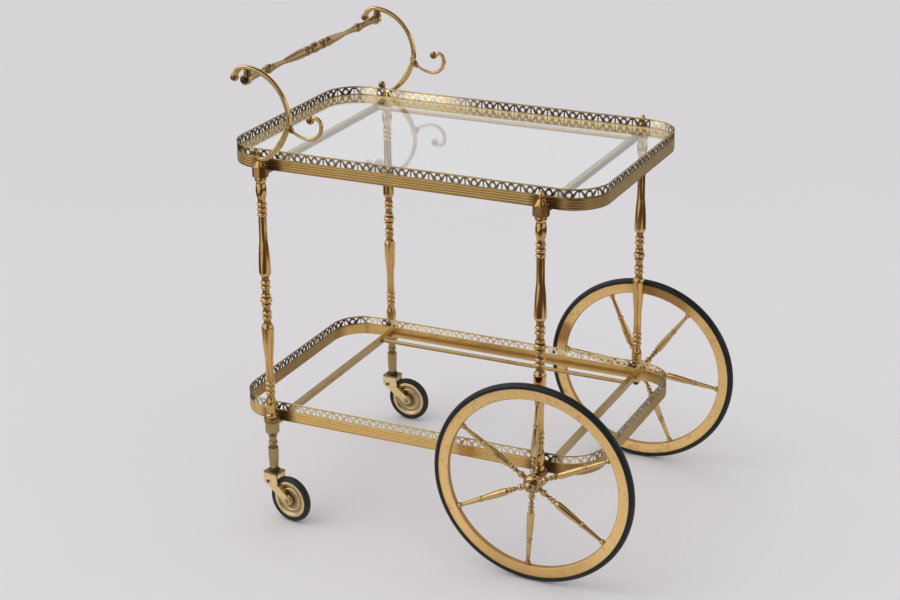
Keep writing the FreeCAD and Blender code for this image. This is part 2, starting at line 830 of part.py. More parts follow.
def make_finial(name, x, y):
    """Small turned finial on the crown, with a stud through the capital into the spindle."""
    stud = "stud_diameter / 2"
    stud_end = "-(capital_height + crown_height + stud_grip - stud_end_gap)"
    finial = turned_upright(name, [
        ("0", stud_end),
        (stud, stud_end),
        (stud, "0"),
        ("finial_neck_diameter / 2", "0"),
        ("finial_neck_diameter / 2", "finial_height / 4"),
        ("finial_neck_diameter / 2", "finial_height * 0.75", "(finial_diameter - finial_neck_diameter) / 2"),
        ("dome_tip", "finial_height", "finial_height / 16"),
        ("0", "finial_height"),
    ])
    place(finial, x, y, CROWN_TOP)
    keep(finial, name)


def foot_stud_stops(top):
    """The stud that stands on a foot or axle block, through the collar into the spindle."""
    stud = "stud_diameter / 2"
    stud_end = f"{top} + collar_height + stud_grip - stud_end_gap"
    return [(stud, top), (stud, stud_end), ("0", stud_end)]


def make_foot(name, x, y, turn):
    """Turned foot below a handle end leg, with a socket for the caster's stem and a hole in
    its cup for the tie rod."""
    top = f"({COLLAR_FOOT} - {FOOT_END})"
    socket = "stem_diameter / 2 + stem_running_clearance"
    neck = "foot_neck_diameter / 2"
    neck_top = f"{top} - cup_height - cup_taper_height"
    bead_top = f"{neck_top} - foot_neck_length"
    bead_foot = f"{bead_top} - bead_height"
    belly_top = f"{bead_foot} - bead_height"
    stops = [
        ("0", "socket_depth"),
        (socket, "socket_depth"),
        (socket, "0"),
        ("foot_end_diameter / 2", "0"),
        ("foot_belly_diameter / 2", belly_top, "foot_belly_diameter / 40"),
        (neck, belly_top),
        (neck, bead_foot),
        (neck, bead_top, "(foot_bead_diameter - foot_neck_diameter) / 2"),
        (neck, neck_top),
        ("cup_diameter / 2", f"{top} - cup_height", "-cup_taper_height / 6"),
        ("cup_diameter / 2", top),
    ]
    turned = turned_upright(f"{name}_turned", stops + foot_stud_stops(top))
    foot = cut(name, turned, cross_hole(name, "cup_diameter / 2", f"{AXLE_HEIGHT} - {FOOT_END}"))
    place(foot, x, y, FOOT_END, VERTICAL, turn)
    keep(foot, name)


def make_axle_block(name, x, y):
    """Block below a wheel end leg, bored across for the axle and from below for its plug."""
    top = f"({COLLAR_FOOT} - {AXLE_HEIGHT})"
    round_over = "axle_block_diameter / 8"
    side = "axle_block_diameter / 2"
    pin = "leg_plug_pin_diameter / 2 + stud_clearance"
    pin_top = "-axle_block_drop + leg_plug_pin_length"
    turned = turned_upright(f"{name}_turned", [
        ("0", pin_top),
        (pin, pin_top),
        (pin, "-axle_block_drop"),
        (f"{side} - {round_over}", "-axle_block_drop"),
        (side, f"-axle_block_drop + {round_over}", f"{round_over} * {QUARTER_SAG}"),
        (side, top),
    ] + foot_stud_stops(top))
    bore = cylinder_along_y(f"{name}_bore", "axle_diameter", f"-2 * {side}", f"2 * {side}")
    block = cut(name, turned, bore)
    place(block, x, y, AXLE_HEIGHT)
    keep(block, name)


def make_leg_plugs():
    """Black domed plugs pressed into the axle blocks from below."""
    plugs = []
    for side, sign in SIDES.items():
        plug = turned_upright(f"leg_plug_{side}", [
            ("0", "-leg_plug_height"),
            ("leg_plug_diameter / 2", "-leg_plug_height / 3", "leg_plug_diameter / 8"),
            ("leg_plug_diameter / 2", "0"),
            ("leg_plug_pin_diameter / 2", "0"),
            ("leg_plug_pin_diameter / 2", "leg_plug_pin_length - leg_plug_pin_gap"),
            ("0", "leg_plug_pin_length - leg_plug_pin_gap"),
        ])
        place(plug, WHEEL_LEG_X, f"{sign} * {LEG_Y}", f"{AXLE_HEIGHT} - axle_block_drop")
        plugs.append(plug)
    group("leg_plugs", plugs)


def make_legs():
    collars = []
    turning = make_spindle("spindle")
    for side, sign in SIDES.items():
        y = f"{sign} * {LEG_Y}"
        turn = 0 if sign < 0 else 180
        for end, x in LEG_ENDS.items():
            spindle = copy_of(turning, f"spindle_{side}_{end}")
            place(spindle, x, y, f"({CAPITAL_FOOT} + {COLLAR_TOP}) / 2")
            keep(spindle, f"spindle_{side}_{end}")
            make_capital(f"capital_{side}_{end}", x, y, turn)
            collars.append(make_collar(f"leg_collar_{side}_{end}", x, y))
        make_foot(f"caster_foot_{side}", HANDLE_LEG_X, y, turn)
        make_axle_block(f"axle_block_{side}", WHEEL_LEG_X, y)
        make_finial(f"finial_{side}", WHEEL_LEG_X, y)
    group("leg_collars", collars)
    make_leg_plugs()


# Large wheels


SPOKE_STEP = 360 / SIZES["spoke_count"]


def make_spoke(name):
    """Turned spoke along +Z from the hub's face to the rim, with a tenon at each end: a bead, a
    ring, a long belly, a second ring and a bead at the rim."""
    tenon = "spoke_tenon_diameter / 2"
    neck = "spoke_neck_diameter / 2"
    slim = "spoke_slim_diameter / 2"
    ring = "spoke_ring_diameter / 2"
    start = "hub_diameter / 2"
    end = RIM_INNER
    swell = "(spoke_bead_diameter - spoke_neck_diameter) / 2"
    ring_swell = "spoke_ring_height / 4"
    belly_swell = "spoke_belly_length / 60"
    first_bead = f"{start} + spoke_bead_reach"
    first_ring = f"{first_bead} + spoke_bead_height + spoke_root_length"
    belly = f"{first_ring} + spoke_ring_height"
    second_ring = f"{belly} + spoke_belly_length"
    return turned_upright(name, [
        ("0", f"{start} - spoke_tenon_length"),
        (tenon, f"{start} - spoke_tenon_length"),
        (tenon, start),
        (neck, start),
        (neck, first_bead),
        (neck, f"{first_bead} + spoke_bead_height", swell),
        (slim, first_ring),
        (ring, first_ring),
        (ring, belly, ring_swell),
        (slim, belly),
        ("spoke_belly_diameter / 2", f"{belly} + spoke_belly_length / 5", belly_swell),
        (neck, second_ring, belly_swell),
        (ring, second_ring),
        (ring, f"{second_ring} + spoke_ring_height", ring_swell),
        (neck, f"{second_ring} + spoke_ring_height"),
        (slim, f"{end} - spoke_bead_height"),
        (slim, end, swell),
        (tenon, end),
        (tenon, f"{end} + spoke_tenon_length"),
        ("0", f"{end} + spoke_tenon_length"),
    ])


def spoke_holes(name, start, end):
    """Radial holes for the spokes' tenons, between two radii."""
    holes = []
    for number in range(SIZES["spoke_count"]):
        hole = cylinder(f"{name}_{number}", "spoke_tenon_diameter + 2 * spoke_clearance",
                        f"{end} - ({start})")
        turn = SPOKE_STEP * number
        place(hole, f"({start}) * sin({turn} deg)", "0", f"({start}) * cos({turn} deg)", ALONG_Y, turn)
        holes.append(hole)
    return fuse(name, holes)


def make_wheel(side, turning):
    """Hub, spokes, flat rim and tyre of one large wheel, turned together on the axle."""
    sign = SIDES[side]
    name = f"{side}_wheel"

    def fit(item, label):
        swing(item, WHEEL_LEG_X, f"{sign} * {WHEEL_Y}", AXLE_HEIGHT, TOWARDS_FRONT, f"{name}_turn")
        keep(item, label)

    bore = "axle_diameter / 2 + axle_running_clearance"
    hub_side = "hub_width / 2"
    barrel = turned_wheel(f"{name}_barrel", [
        (f"-{hub_side}", bore),
        (hub_side, bore),
        (hub_side, "hub_end_diameter / 2"),
        ("hub_width / 5", "hub_diameter / 2", "hub_width / 40"),
        ("-hub_width / 5", "hub_diameter / 2"),
        (f"-{hub_side}", "hub_end_diameter / 2", "hub_width / 40"),
    ])
    sockets = spoke_holes(f"{name}_hub_sockets", "hub_diameter / 2 - spoke_tenon_length", "hub_diameter")
    fit(cut(f"{name}_hub", barrel, sockets), f"{name}_hub")
    spokes = []
    for number in range(SIZES["spoke_count"]):
        spoke = copy_of(turning, f"{name}_spoke_{number}")
        place(spoke, axis=ALONG_Y, turn=SPOKE_STEP * number)
        spokes.append(spoke)
    bundle = doc.addObject("Part::Compound", f"{name}_spokes")
    bundle.Links = spokes
    fit(bundle, f"{name}_spokes")
    rim_side = "rim_width / 2"
    inner = RIM_INNER
    outer = RIM_OUTER
    ring = turned_wheel(f"{name}_ring", [
        (f"-{rim_side} + rim_edge", inner),
        (f"{rim_side} - rim_edge", inner),
        (rim_side, f"{inner} + rim_edge"),
        (rim_side, outer),
        (f"-{rim_side}", outer),
        (f"-{rim_side}", f"{inner} + rim_edge"),
    ])
    seats = spoke_holes(f"{name}_rim_seats", f"{inner} - spoke_tenon_length",
                        f"{inner} + spoke_tenon_length")
    fit(cut(f"{name}_rim", ring, seats), f"{name}_rim")
    edge = "wheel_tyre_width / 2"
    tyre = turned_wheel(f"{name}_tyre", [
        (f"-{edge}", outer, "tyre_tread"),
        (edge, outer),
    ])
    fit(tyre, f"{name}_tyre")


def make_axles():
    """Shouldered axles through the blocks, each with a socket for the tie rod in its inner end,
    and the domed nuts that keep the wheels on."""
    axles = []
    nuts = []
    inner = "-(wheel_stand_off + sqrt(axle_block_diameter^2 - axle_diameter^2) / 2)"
    block_face = "-(wheel_stand_off - axle_block_diameter / 2)"
    shoulder = "-(hub_width / 2 + hub_side_clearance)"
    hub_face = "(hub_width / 2 + hub_side_clearance)"
    thread = "axle_thread_diameter / 2"
    for side, sign in SIDES.items():
        turn = 180 if sign < 0 else 0
        axle = turned_wheel(f"axle_{side}", [
            (f"{inner} + tie_rod_grip", "0"),
            (f"{inner} + tie_rod_grip", f"{TIE_HOLE} / 2"),
            (inner, f"{TIE_HOLE} / 2"),
            (inner, "axle_diameter / 2"),
            (block_face, "axle_diameter / 2"),
            (block_face, "axle_shoulder_diameter / 2"),
            (shoulder, "axle_shoulder_diameter / 2"),
            (shoulder, "axle_diameter / 2"),
            (hub_face, "axle_diameter / 2"),
            (hub_face, thread),
            (f"{hub_face} + axle_thread_length", thread),
            (f"{hub_face} + axle_thread_length", "0"),
        ])
        nut = turned_wheel(f"axle_nut_{side}", [
            (hub_face, thread),
            (hub_face, "axle_nut_diameter / 2 - axle_nut_edge"),
            (f"{hub_face} + axle_nut_height / 4", "axle_nut_diameter / 2"),
            (f"{hub_face} + axle_nut_height", "dome_tip", "-axle_nut_diameter / 8"),
            (f"{hub_face} + axle_nut_height", "0"),
            (f"{hub_face} + axle_thread_length", "0"),
            (f"{hub_face} + axle_thread_length", thread),
        ])
        for item in (axle, nut):
            place(item, WHEEL_LEG_X, f"{sign} * {WHEEL_Y}", AXLE_HEIGHT, VERTICAL, turn)
        axles.append(axle)
        nuts.append(nut)
    group("wheel_axles", axles)
    group("axle_nuts", nuts)


# Casters


def make_caster(side):
    """Stem, fork, axle, disc and tyre of one swivel caster."""
    sign = SIDES[side]
    name = f"{side}_caster"
    swivel = f"{side}_swivel"
    leg_y = f"{sign} * {LEG_Y}"
    radius = "caster_wheel_diameter / 2"

    def hang(item, label):
        swing(item, HANDLE_LEG_X, leg_y, "0", DOWNWARD, swivel)
        keep(item, label)

    def mount(item, label):
        swing(item, f"{HANDLE_LEG_X} + caster_trail * cos({swivel} * 1 deg)",
              f"{leg_y} - caster_trail * sin({swivel} * 1 deg)", radius, DOWNWARD, swivel)
        keep(item, label)

    pin = "stem_diameter / 2"
    pin_top = f"{FOOT_END} + socket_depth - stud_end_gap"
    stem = turned_upright(f"{name}_stem", [
        ("0", "fork_top_height - fork_sheet"),
        (pin, "fork_top_height - fork_sheet"),
        (pin, "fork_top_height"),
        ("stem_collar_diameter / 2", "fork_top_height"),
        ("stem_collar_diameter / 2", f"{CASTER_COLLAR_TOP} - stem_collar_edge"),
        ("stem_collar_diameter / 2 - stem_collar_edge", CASTER_COLLAR_TOP),
        (pin, CASTER_COLLAR_TOP),
        (pin, pin_top),
        ("0", pin_top),
    ])
    hang(stem, f"{name}_stem")
    hang(make_fork(f"{name}_fork", radius), f"{name}_fork")
    head = "fork_width / 2"
    head_end = f"{head} + caster_axle_head_height"
    head_radius = "caster_axle_head_diameter / 2"
    shank = "caster_axle_diameter / 2"
    axle = turned_wheel(f"{name}_axle", [
        (f"-({head_end})", "0"),
        (f"-({head_end})", "dome_tip"),
        (f"-{head}", head_radius, "caster_axle_head_height / 4"),
        (f"-{head}", shank),
        (head, shank),
        (head, head_radius),
        (head_end, "dome_tip", "caster_axle_head_height / 4"),
        (head_end, "0"),
    ])
    mount(axle, f"{name}_axle")
    bore = f"{shank} + axle_running_clearance"
    hub_side = "(fork_width / 2 - fork_sheet - caster_hub_side_clearance)"
    rim_side = "caster_disc_width / 2"
    web_side = "caster_web_width / 2"
    disc_half = [
        (hub_side, "caster_hub_diameter / 2"),
        (web_side, "caster_hub_diameter / 2 + caster_web_slope"),
        (web_side, "caster_web_diameter / 2"),
        (rim_side, "caster_web_diameter / 2 + caster_web_slope"),
        (rim_side, "caster_disc_diameter / 2"),
    ]
    other_half = [(f"-{across}", up) for across, up in reversed(disc_half)]
    disc = turned_wheel(f"{name}_disc",
                        [(f"-{hub_side}", bore), (hub_side, bore)] + disc_half + other_half)
    mount(disc, f"{name}_disc")
    edge = "caster_tyre_width / 2"
    seat = "caster_disc_diameter / 2"
    tyre = turned_wheel(f"{name}_tyre", [
        (f"-{edge}", seat),
        (edge, seat),
        (edge, f"{radius} - caster_tyre_width / 4"),
        (f"-{edge}", f"{radius} - caster_tyre_width / 4", "caster_tyre_width / 4"),
    ])
    mount(tyre, f"{name}_tyre")


def make_fork(name, radius):
    """Bent sheet fork: a top plate and two side plates with arms slanting to the axle."""
    body = new_body(name)
    outline = new_sketch(body, f"{name}_outline", "XZ_Plane")
    back = "-fork_plate_half_length"
    front = "fork_plate_half_length"
    plate_foot = "fork_top_height - fork_plate_depth"
    arm = "fork_arm_half_width"
    lean = "cos(45 deg)"
    draw_outline(outline, [
        (back, "fork_top_height"),
        (back, plate_foot),
        (f"{back} + {arm}", f"{plate_foot} - {arm} / 2"),
        (f"caster_trail - {arm} * {lean}", f"{radius} - {arm} * {lean}"),
        (f"caster_trail + {arm} * {lean}", f"{radius} + {arm} * {lean}", f"0.9 * {arm}"),
        (front, plate_foot),
        (front, "fork_top_height"),
    ])
    pad(body, outline, "fork_width", midplane=True)
    doc.recompute()
    slot = new_sketch(body, f"{name}_slot", "XZ_Plane")
    reach = "(caster_trail + caster_wheel_diameter)"
    draw_outline(slot, [
        (f"-{reach}", "0"),
        (reach, "0"),
        (reach, "fork_top_height - fork_sheet"),
        (f"-{reach}", "fork_top_height - fork_sheet"),
    ])
    opened = body.newObject("PartDesign::Pocket", f"{name}_opened")
    opened.Profile = slot
    opened.Midplane = True
    bind(opened, Length="fork_width - 2 * fork_sheet")
    doc.recompute()
    axle_holes = new_sketch(body, f"{name}_axle_holes", "XZ_Plane")
    draw_circle(axle_holes, "caster_trail", radius, "caster_axle_diameter")
    cut_through(body, axle_holes)
    doc.recompute()
    stem_hole = new_sketch(body, f"{name}_stem_hole", "XY_Plane")
    draw_circle(stem_hole, "0", "0", "stem_diameter")
    cut_through(body, stem_hole)
    return body


# Handle


def bend_centres(across, up, heading, bends):
    """The centres of tangent arcs (radius, turn), one after another from a lowest point, setting
    out along X for a heading of 1 or against it for -1, each with the angle turned before it."""
    centres = []
    turned = "0"
    x = across
    y = f"{up} + {bends[0][0]}"
    last_radius = bends[0][0]
    for radius, turn in bends:
        x = f"{x} + {heading} * ({last_radius} - {radius}) * sin(({turned}) * 1 deg)"
        y = f"{y} - ({last_radius} - {radius}) * cos(({turned}) * 1 deg)"
        centres.append((x, y, turned))
        turned = f"{turned} + {turn}"
        last_radius = radius
    return centres


def bent_rods(name, diameter, across, up, heading, bends):
    """Round rods bent in the XY plane along tangent arcs.
    Returns the rods and the place of the last one's end."""
    rods = []
    for number, (x, y, turned) in enumerate(bend_centres(across, up, heading, bends)):
        radius, turn = bends[number]
        rod = doc.addObject("Part::Torus", f"{name}_{number}")
        bind(rod, Radius1=radius, Radius2=f"{diameter} / 2", Angle3=f"({turn}) * 1 deg")
        first = f"270 + {turned}" if heading > 0 else f"270 - ({turned}) - {turn}"
        swing(rod, x, y, "0", VERTICAL, f"mod({first}; 360)")
        rods.append(rod)
    end_x = f"{x} + {heading} * {radius} * sin(({turned} + {turn}) * 1 deg)"
    end_y = f"{y} - {radius} * cos(({turned} + {turn}) * 1 deg)"
    return rods, (end_x, end_y)


SCROLL_BENDS = [
    ("scroll_foot_radius", "scroll_foot_turn"),
    ("scroll_rise_radius", "scroll_rise_turn"),
    ("scroll_bend_radius", "scroll_bend_turn"),
    ("scroll_back_radius", "scroll_back_turn"),
    ("scroll_tip_radius", "scroll_tip_turn"),
]

# The bar lies in the middle of the scroll's curled tip, a little raised
TIP_CENTRE = bend_centres("scroll_foot_reach", SCROLL_FOOT, 1, SCROLL_BENDS)[-1]
BAR_REACH = f"({TIP_CENTRE[0]})"
BAR_HEIGHT = f"({TIP_CENTRE[1]} + eye_rise)"
BAR_X = f"{HANDLE_LEG_X} + {BAR_REACH}"


def ball_at(name, diameter, spot):
    item = doc.addObject("Part::Sphere", name)
    bind(item, Radius=f"{diameter} / 2")
    place(item, spot[0], spot[1])
    return item


def make_scroll(side):
    """Cast bracket on a handle end leg: a large scroll, a branch scroll, an eye for the bar and
    a stud into the leg. It is made lying in the XY plane, with Y for its height, and then stood up."""
    name = f"scroll_{side}"
    rise, tip = bent_rods(f"{name}_rise", "scroll_diameter", "scroll_foot_reach", SCROLL_FOOT, 1,
                          SCROLL_BENDS)
    heel, heel_end = bent_rods(f"{name}_heel", "scroll_diameter", "scroll_foot_reach", SCROLL_FOOT, -1,
                               [("scroll_heel_radius", "scroll_heel_turn")])
    low_point = ("branch_low_reach", f"({SCROLL_FOOT} + branch_rise)")
    bowl, curl_end = bent_rods(f"{name}_bowl", "branch_diameter", *low_point, 1, [
        ("branch_bowl_radius", "branch_bowl_turn"),
        ("branch_curl_radius", "branch_curl_turn"),
    ])
    root, root_end = bent_rods(f"{name}_root", "branch_diameter", *low_point, -1,
                               [("branch_root_radius", "branch_root_turn")])
    balls = [
        ball_at(f"{name}_tip_ball", "scroll_ball_diameter", tip),
        ball_at(f"{name}_heel_ball", "scroll_ball_diameter", heel_end),
        ball_at(f"{name}_curl_ball", "branch_ball_diameter", curl_end),
        ball_at(f"{name}_leaf", "branch_leaf_diameter", root_end),
    ]
    eye = cylinder(f"{name}_eye", "eye_diameter", "eye_width")
    place(eye, BAR_REACH, BAR_HEIGHT, "-eye_width / 2")
    web = cylinder_along_y(f"{name}_web", "scroll_diameter", BAR_HEIGHT,
                           f"{TIP_CENTRE[1]} + scroll_tip_radius", BAR_REACH)
    stud = cylinder_along_y(f"{name}_stud", "stud_diameter", f"{CAPITAL_FOOT} - stud_grip + stud_end_gap",
                            SCROLL_FOOT)
    casting = fuse(f"{name}_casting", rise + heel + bowl + root + balls + [eye, web, stud])
    bore = cylinder(f"{name}_bore", "bar_end_diameter + 2 * bar_clearance", "2 * eye_width")
    place(bore, BAR_REACH, BAR_HEIGHT, "-eye_width")
    bracket = cut(name, casting, bore)
    place(bracket, HANDLE_LEG_X, f"{SIDES[side]} * {LEG_Y}", "0", ALONG_X, 90)
    keep(bracket, name)


def make_handle_bar():
    """Turned bar between the two brackets, the same on both sides of its middle ring."""
    name = "handle_bar"
    slim = "bar_slim_diameter / 2"
    swell = "(bar_bead_diameter - bar_slim_diameter) / 2"
    face = f"({LEG_Y} - eye_width / 2)"
    end = f"({LEG_Y} + eye_width / 2 + bar_cap_bore)"
    ring = "bar_ring_height / 2"
    first = f"{ring} + bar_ring_height / 2"
    second = f"{first} + bar_bead_height + bar_ring_height / 2"
    belly = f"{second} + bar_bead_height + bar_ring_height"
    neck_bead_end = "bar_neck_bead_reach + bar_neck_bead_height"
    last = f"{face} - bar_end_bead_height"
    half = [
        ("bar_ring_diameter / 2", ring),
        (slim, ring),
        (slim, first),
        (slim, f"{first} + bar_bead_height", swell),
        (slim, second),
        (slim, f"{second} + bar_bead_height", swell),
        (slim, belly),
        ("bar_belly_diameter / 2", f"{belly} + bar_belly_reach / 2", "bar_belly_reach / 60"),
        (slim, f"{belly} + bar_belly_reach * 1.6", "bar_belly_reach / 60"),
        (slim, "bar_neck_bead_reach"),
        (slim, neck_bead_end, swell),
        (slim, f"{neck_bead_end} + bar_neck_bead_gap"),
        (slim, f"{neck_bead_end} + bar_neck_bead_gap + bar_neck_bead_height", swell),
        (slim, last),
        (slim, face, swell),
        ("bar_end_diameter / 2", face),
        ("bar_end_diameter / 2", end),
        ("0", end),
    ]
    body = turned_upright(name, [("0", "0"), ("bar_ring_diameter / 2", "0")] + half)
    mirror_below(body)
    place(body, BAR_X, "0", BAR_HEIGHT, ALONG_X, 90)
    keep(body, name)


def make_bar_caps():
    """Black domed caps on the ends of the handle bar."""
    caps = []
    bore = "bar_end_diameter / 2 + bar_clearance"
    for side, sign in SIDES.items():
        cap = turned_wheel(f"bar_cap_{side}", [
            ("0", bore),
            ("0", "bar_cap_diameter / 2"),
            ("bar_cap_length / 2", "bar_cap_diameter / 2"),
            ("bar_cap_length", "dome_tip", "-bar_cap_diameter / 10"),
            ("bar_cap_length", "0"),
            ("bar_cap_bore", "0"),
            ("bar_cap_bore", bore),
        ])
        place(cap, BAR_X, f"{sign} * ({LEG_Y} + eye_width / 2)", BAR_HEIGHT, VERTICAL,
              180 if sign < 0 else 0)
        caps.append(cap)
    group("bar_caps", caps)


# Building and writing


def check_document():
    """Stop if any object failed, and return the shape of each piece."""
    for item in doc.Objects:
        if "Invalid" in item.State or "Error" in item.State:
            raise RuntimeError(f"{item.Label} failed: {item.State}")
    shapes = {}
    for item in nodes:
        shape = item.Shape
        if shape.isNull() or not shape.isValid() or not shape.Solids:
            raise RuntimeError(f"{item.Label} has no valid solid")
        shapes[item.Label] = shape
    return shapes


make_trays()
make_ties()
make_legs()
spoke_turning = make_spoke("spoke")
for cart_side in SIDES:
    make_wheel(cart_side, spoke_turning)
    make_caster(cart_side)
    make_scroll(cart_side)
make_axles()
make_handle_bar()
make_bar_caps()
doc.recompute()

os.makedirs("parts", exist_ok=True)
for label, shape in check_document().items():
    shape.exportStep(f"parts/{label}.step")
    print(f"{label}: {len(shape.Solids)} solids, {shape.Volume:.1f} mm3")
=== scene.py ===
# %% [markdown]
# # A brass bar cart
# The cart is a small tea trolley of turned and cast brass: two oblong trays with pierced
# galleries, the upper one with a glass pane, four turned legs, two spoked wheels, two casters
# and a bar on scroll brackets.
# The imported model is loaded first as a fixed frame, in metres. Pieces whose solids already have
# the right shape only get a finish here. Castings and turnings with a richer form are worked out
# as arrays of points and take the place of their solids.

# %% Load the frame
import bmesh
import bpy
import numpy as np
from mathutils import Matrix


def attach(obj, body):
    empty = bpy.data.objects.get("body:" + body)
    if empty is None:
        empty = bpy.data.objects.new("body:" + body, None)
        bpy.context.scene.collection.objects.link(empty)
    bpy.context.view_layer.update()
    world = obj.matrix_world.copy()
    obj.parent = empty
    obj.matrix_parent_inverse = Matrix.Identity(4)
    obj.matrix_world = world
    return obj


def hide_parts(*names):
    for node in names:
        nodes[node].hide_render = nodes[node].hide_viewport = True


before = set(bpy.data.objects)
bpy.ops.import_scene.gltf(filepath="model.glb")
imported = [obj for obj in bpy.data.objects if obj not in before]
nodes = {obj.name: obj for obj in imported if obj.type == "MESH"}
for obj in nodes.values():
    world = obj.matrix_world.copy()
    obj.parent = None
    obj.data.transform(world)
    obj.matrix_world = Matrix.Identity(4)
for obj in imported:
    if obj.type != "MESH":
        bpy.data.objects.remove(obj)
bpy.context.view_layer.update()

MM = 0.001

# %% [markdown]
# ## Camera
# The photograph looks down on the cart from its front right. A camera is a place and three
# directions: right, up and backwards. They follow from yaw, pitch and a very small roll, so the
# matrix is written out directly.

# %% Place the camera
YAW, PITCH, ROLL = np.radians([25.324, 21.360, -0.592])
CAMERA_PLACE = np.array([1.1619, -2.5734, 1.4381])
LENS, SENSOR = 77.71, 36
backwards = np.array([np.sin(YAW) * np.cos(PITCH), -np.cos(YAW) * np.cos(PITCH), np.sin(PITCH)])
level_right = np.array([np.cos(YAW), np.sin(YAW), 0.0])
level_beyond = np.array([-np.sin(YAW), np.cos(YAW), 0.0])
level_up = np.cross(backwards, level_right)
right = np.cos(ROLL) * level_right + np.sin(ROLL) * level_up
up = np.cos(ROLL) * level_up - np.sin(ROLL) * level_right

camera = bpy.data.objects.new("camera", bpy.data.cameras.new("camera"))
bpy.context.scene.collection.objects.link(camera)
camera.data.sensor_width = SENSOR
camera.data.lens = LENS
columns = np.column_stack([right, up, backwards, CAMERA_PLACE])
camera.matrix_world = Matrix(np.vstack([columns, [0, 0, 0, 1]]).tolist())
bpy.context.scene.camera = camera
print("camera looks along", np.round(-backwards, 3))

# %% [markdown]
# ## Meshes from arrays
# Every new piece is a grid of points: one array of shape rows x columns x 3. Two neighbouring
# rows and columns bound one four-sided face, so the faces are index arithmetic and need no loop.
# Points that coincide, at a seam or a pole, are merged, and the normals are then turned outwards.

# %% Grids to meshes
MERGE_WITHIN = 0.002 * MM


def grid_faces(rows, columns, wrap_rows=False, wrap_columns=False):
    """Four corners of each cell of a grid; a wrapped way joins its last line to its first."""
    row, column = np.meshgrid(np.arange(rows if wrap_rows else rows - 1),
                              np.arange(columns if wrap_columns else columns - 1), indexing="ij")
    next_row, next_column = (row + 1) % rows, (column + 1) % columns
    corners = [row * columns + column, next_row * columns + column,
               next_row * columns + next_column, row * columns + next_column]
    return np.stack(corners, -1).reshape(-1, 4)


def shell(points, wrap_rows=False, wrap_columns=True, groove=0.0):
    """One surface from a grid of points in mm: its points in metres, its faces, and how deep in a
    groove each point lies, 0 to 1."""
    rows, columns = points.shape[:2]
    faces = grid_faces(rows, columns, wrap_rows, wrap_columns)
    return points.reshape(-1, 3) * MM, faces, np.broadcast_to(groove, (rows, columns)).reshape(-1)


def put_piece(name, shells, finish, crease):
    """A mesh object from several shells, with merged doubles, outward faces and soft shading."""
    points, faces, depths = zip(*shells)
    starts = np.cumsum([0] + [len(array) for array in points])
    faces = np.concatenate([array + start for array, start in zip(faces, starts)])
    mesh = bpy.data.meshes.new(name)
    mesh.from_pydata(np.concatenate(points).tolist(), [], faces.tolist())
    groove = mesh.attributes.new("groove", "FLOAT", "POINT")
    groove.data.foreach_set("value", np.concatenate(depths).astype(np.float32))
    work = bmesh.new()
    work.from_mesh(mesh)
    bmesh.ops.remove_doubles(work, verts=work.verts, dist=MERGE_WITHIN)
    bmesh.ops.recalc_face_normals(work, faces=work.faces)
    work.to_mesh(mesh)
    work.free()
    mesh.polygons.foreach_set("use_smooth", np.ones(len(mesh.polygons), bool))
    mesh.set_sharp_from_angle(angle=np.radians(crease))
    mesh.materials.append(finish)
    piece = bpy.data.objects.new(name, mesh)
    bpy.context.scene.collection.objects.link(piece)
    print(name, "has", len(mesh.polygons), "faces")
    return piece


def fit_piece(name, shells, finish, body, slot, *replaced, crease=40):
    """Put a piece that rides on a body and let it stand for solids; the slot is not used."""
    piece = put_piece(name, shells, finish, crease)
    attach(piece, body)
    if replaced:
        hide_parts(*replaced)

# %% [markdown]
# ## Nodes in few words
# A material is a small graph. The first helper adds one node, sets its properties, and fills its
# inputs with a number or with another node's output, so that each graph below reads as a list.

# %% Node helpers
def add(tree, kind, inputs=None, **settings):
    """Add a shader node; an input that is given a socket is linked, any other is set."""
    made = tree.nodes.new(f"ShaderNode{kind}")
    for key, value in settings.items():
        setattr(made, key, value)
    for key, value in (inputs or {}).items():
        if isinstance(value, bpy.types.NodeSocket):
            tree.links.new(value, made.inputs[key])
        else:
            made.inputs[key].default_value = value
    return made


def math(tree, operation, *values):
    return add(tree, "Math", dict(enumerate(values)), operation=operation).outputs[0]


def scaled(tree, vector, by):
    return add(tree, "VectorMath", {0: vector, "Scale": by}, operation="SCALE").outputs[0]


def own_place(tree):
    """The point in the piece's own coordinates, in metres."""
    return add(tree, "TexCoord").outputs["Object"]


def noise(tree, scale, detail=2.0, roughness=0.5):
    values = {"Vector": own_place(tree), "Scale": scale, "Detail": detail, "Roughness": roughness}
    return add(tree, "TexNoise", values).outputs["Fac"]


print("node helpers ready")

# %% [markdown]
# ## Masks
# A mask is 0 where an effect is absent and 1 where it is full. These helpers make masks, join
# them, and blend numbers and colours by them.

# %% Mask helpers
def step_between(tree, value, low, high):
    """0 below low, 1 above high and smooth between them."""
    made = add(tree, "MapRange", {"Value": value, "From Min": low, "From Max": high},
               interpolation_type="SMOOTHSTEP")
    return made.outputs["Result"]


def opposite(tree, mask):
    return math(tree, "SUBTRACT", 1.0, mask)


def fall_between(tree, value, low, high):
    """1 below low, 0 above high and smooth between them."""
    return opposite(tree, step_between(tree, value, low, high))


def overlap(tree, mask, *others):
    """Where all masks are 1: their product."""
    for other in others:
        mask = math(tree, "MULTIPLY", mask, other)
    return mask


def strongest(tree, *masks):
    """The largest of several masks, each given with its strength."""
    total = 0.0
    for mask, strength in masks:
        total = math(tree, "MAXIMUM", total, math(tree, "MULTIPLY", mask, strength))
    return total


def blend(tree, mask, first, second):
    """A number that goes from the first to the second as a mask goes from 0 to 1."""
    return math(tree, "ADD", first, math(tree, "MULTIPLY", mask, second - first))


def mixed(tree, share, first, second):
    """Blend two colours by a share."""
    made = add(tree, "Mix", {0: share, 6: first, 7: second}, data_type="RGBA")
    return made.outputs[2]


print("mask helpers ready")

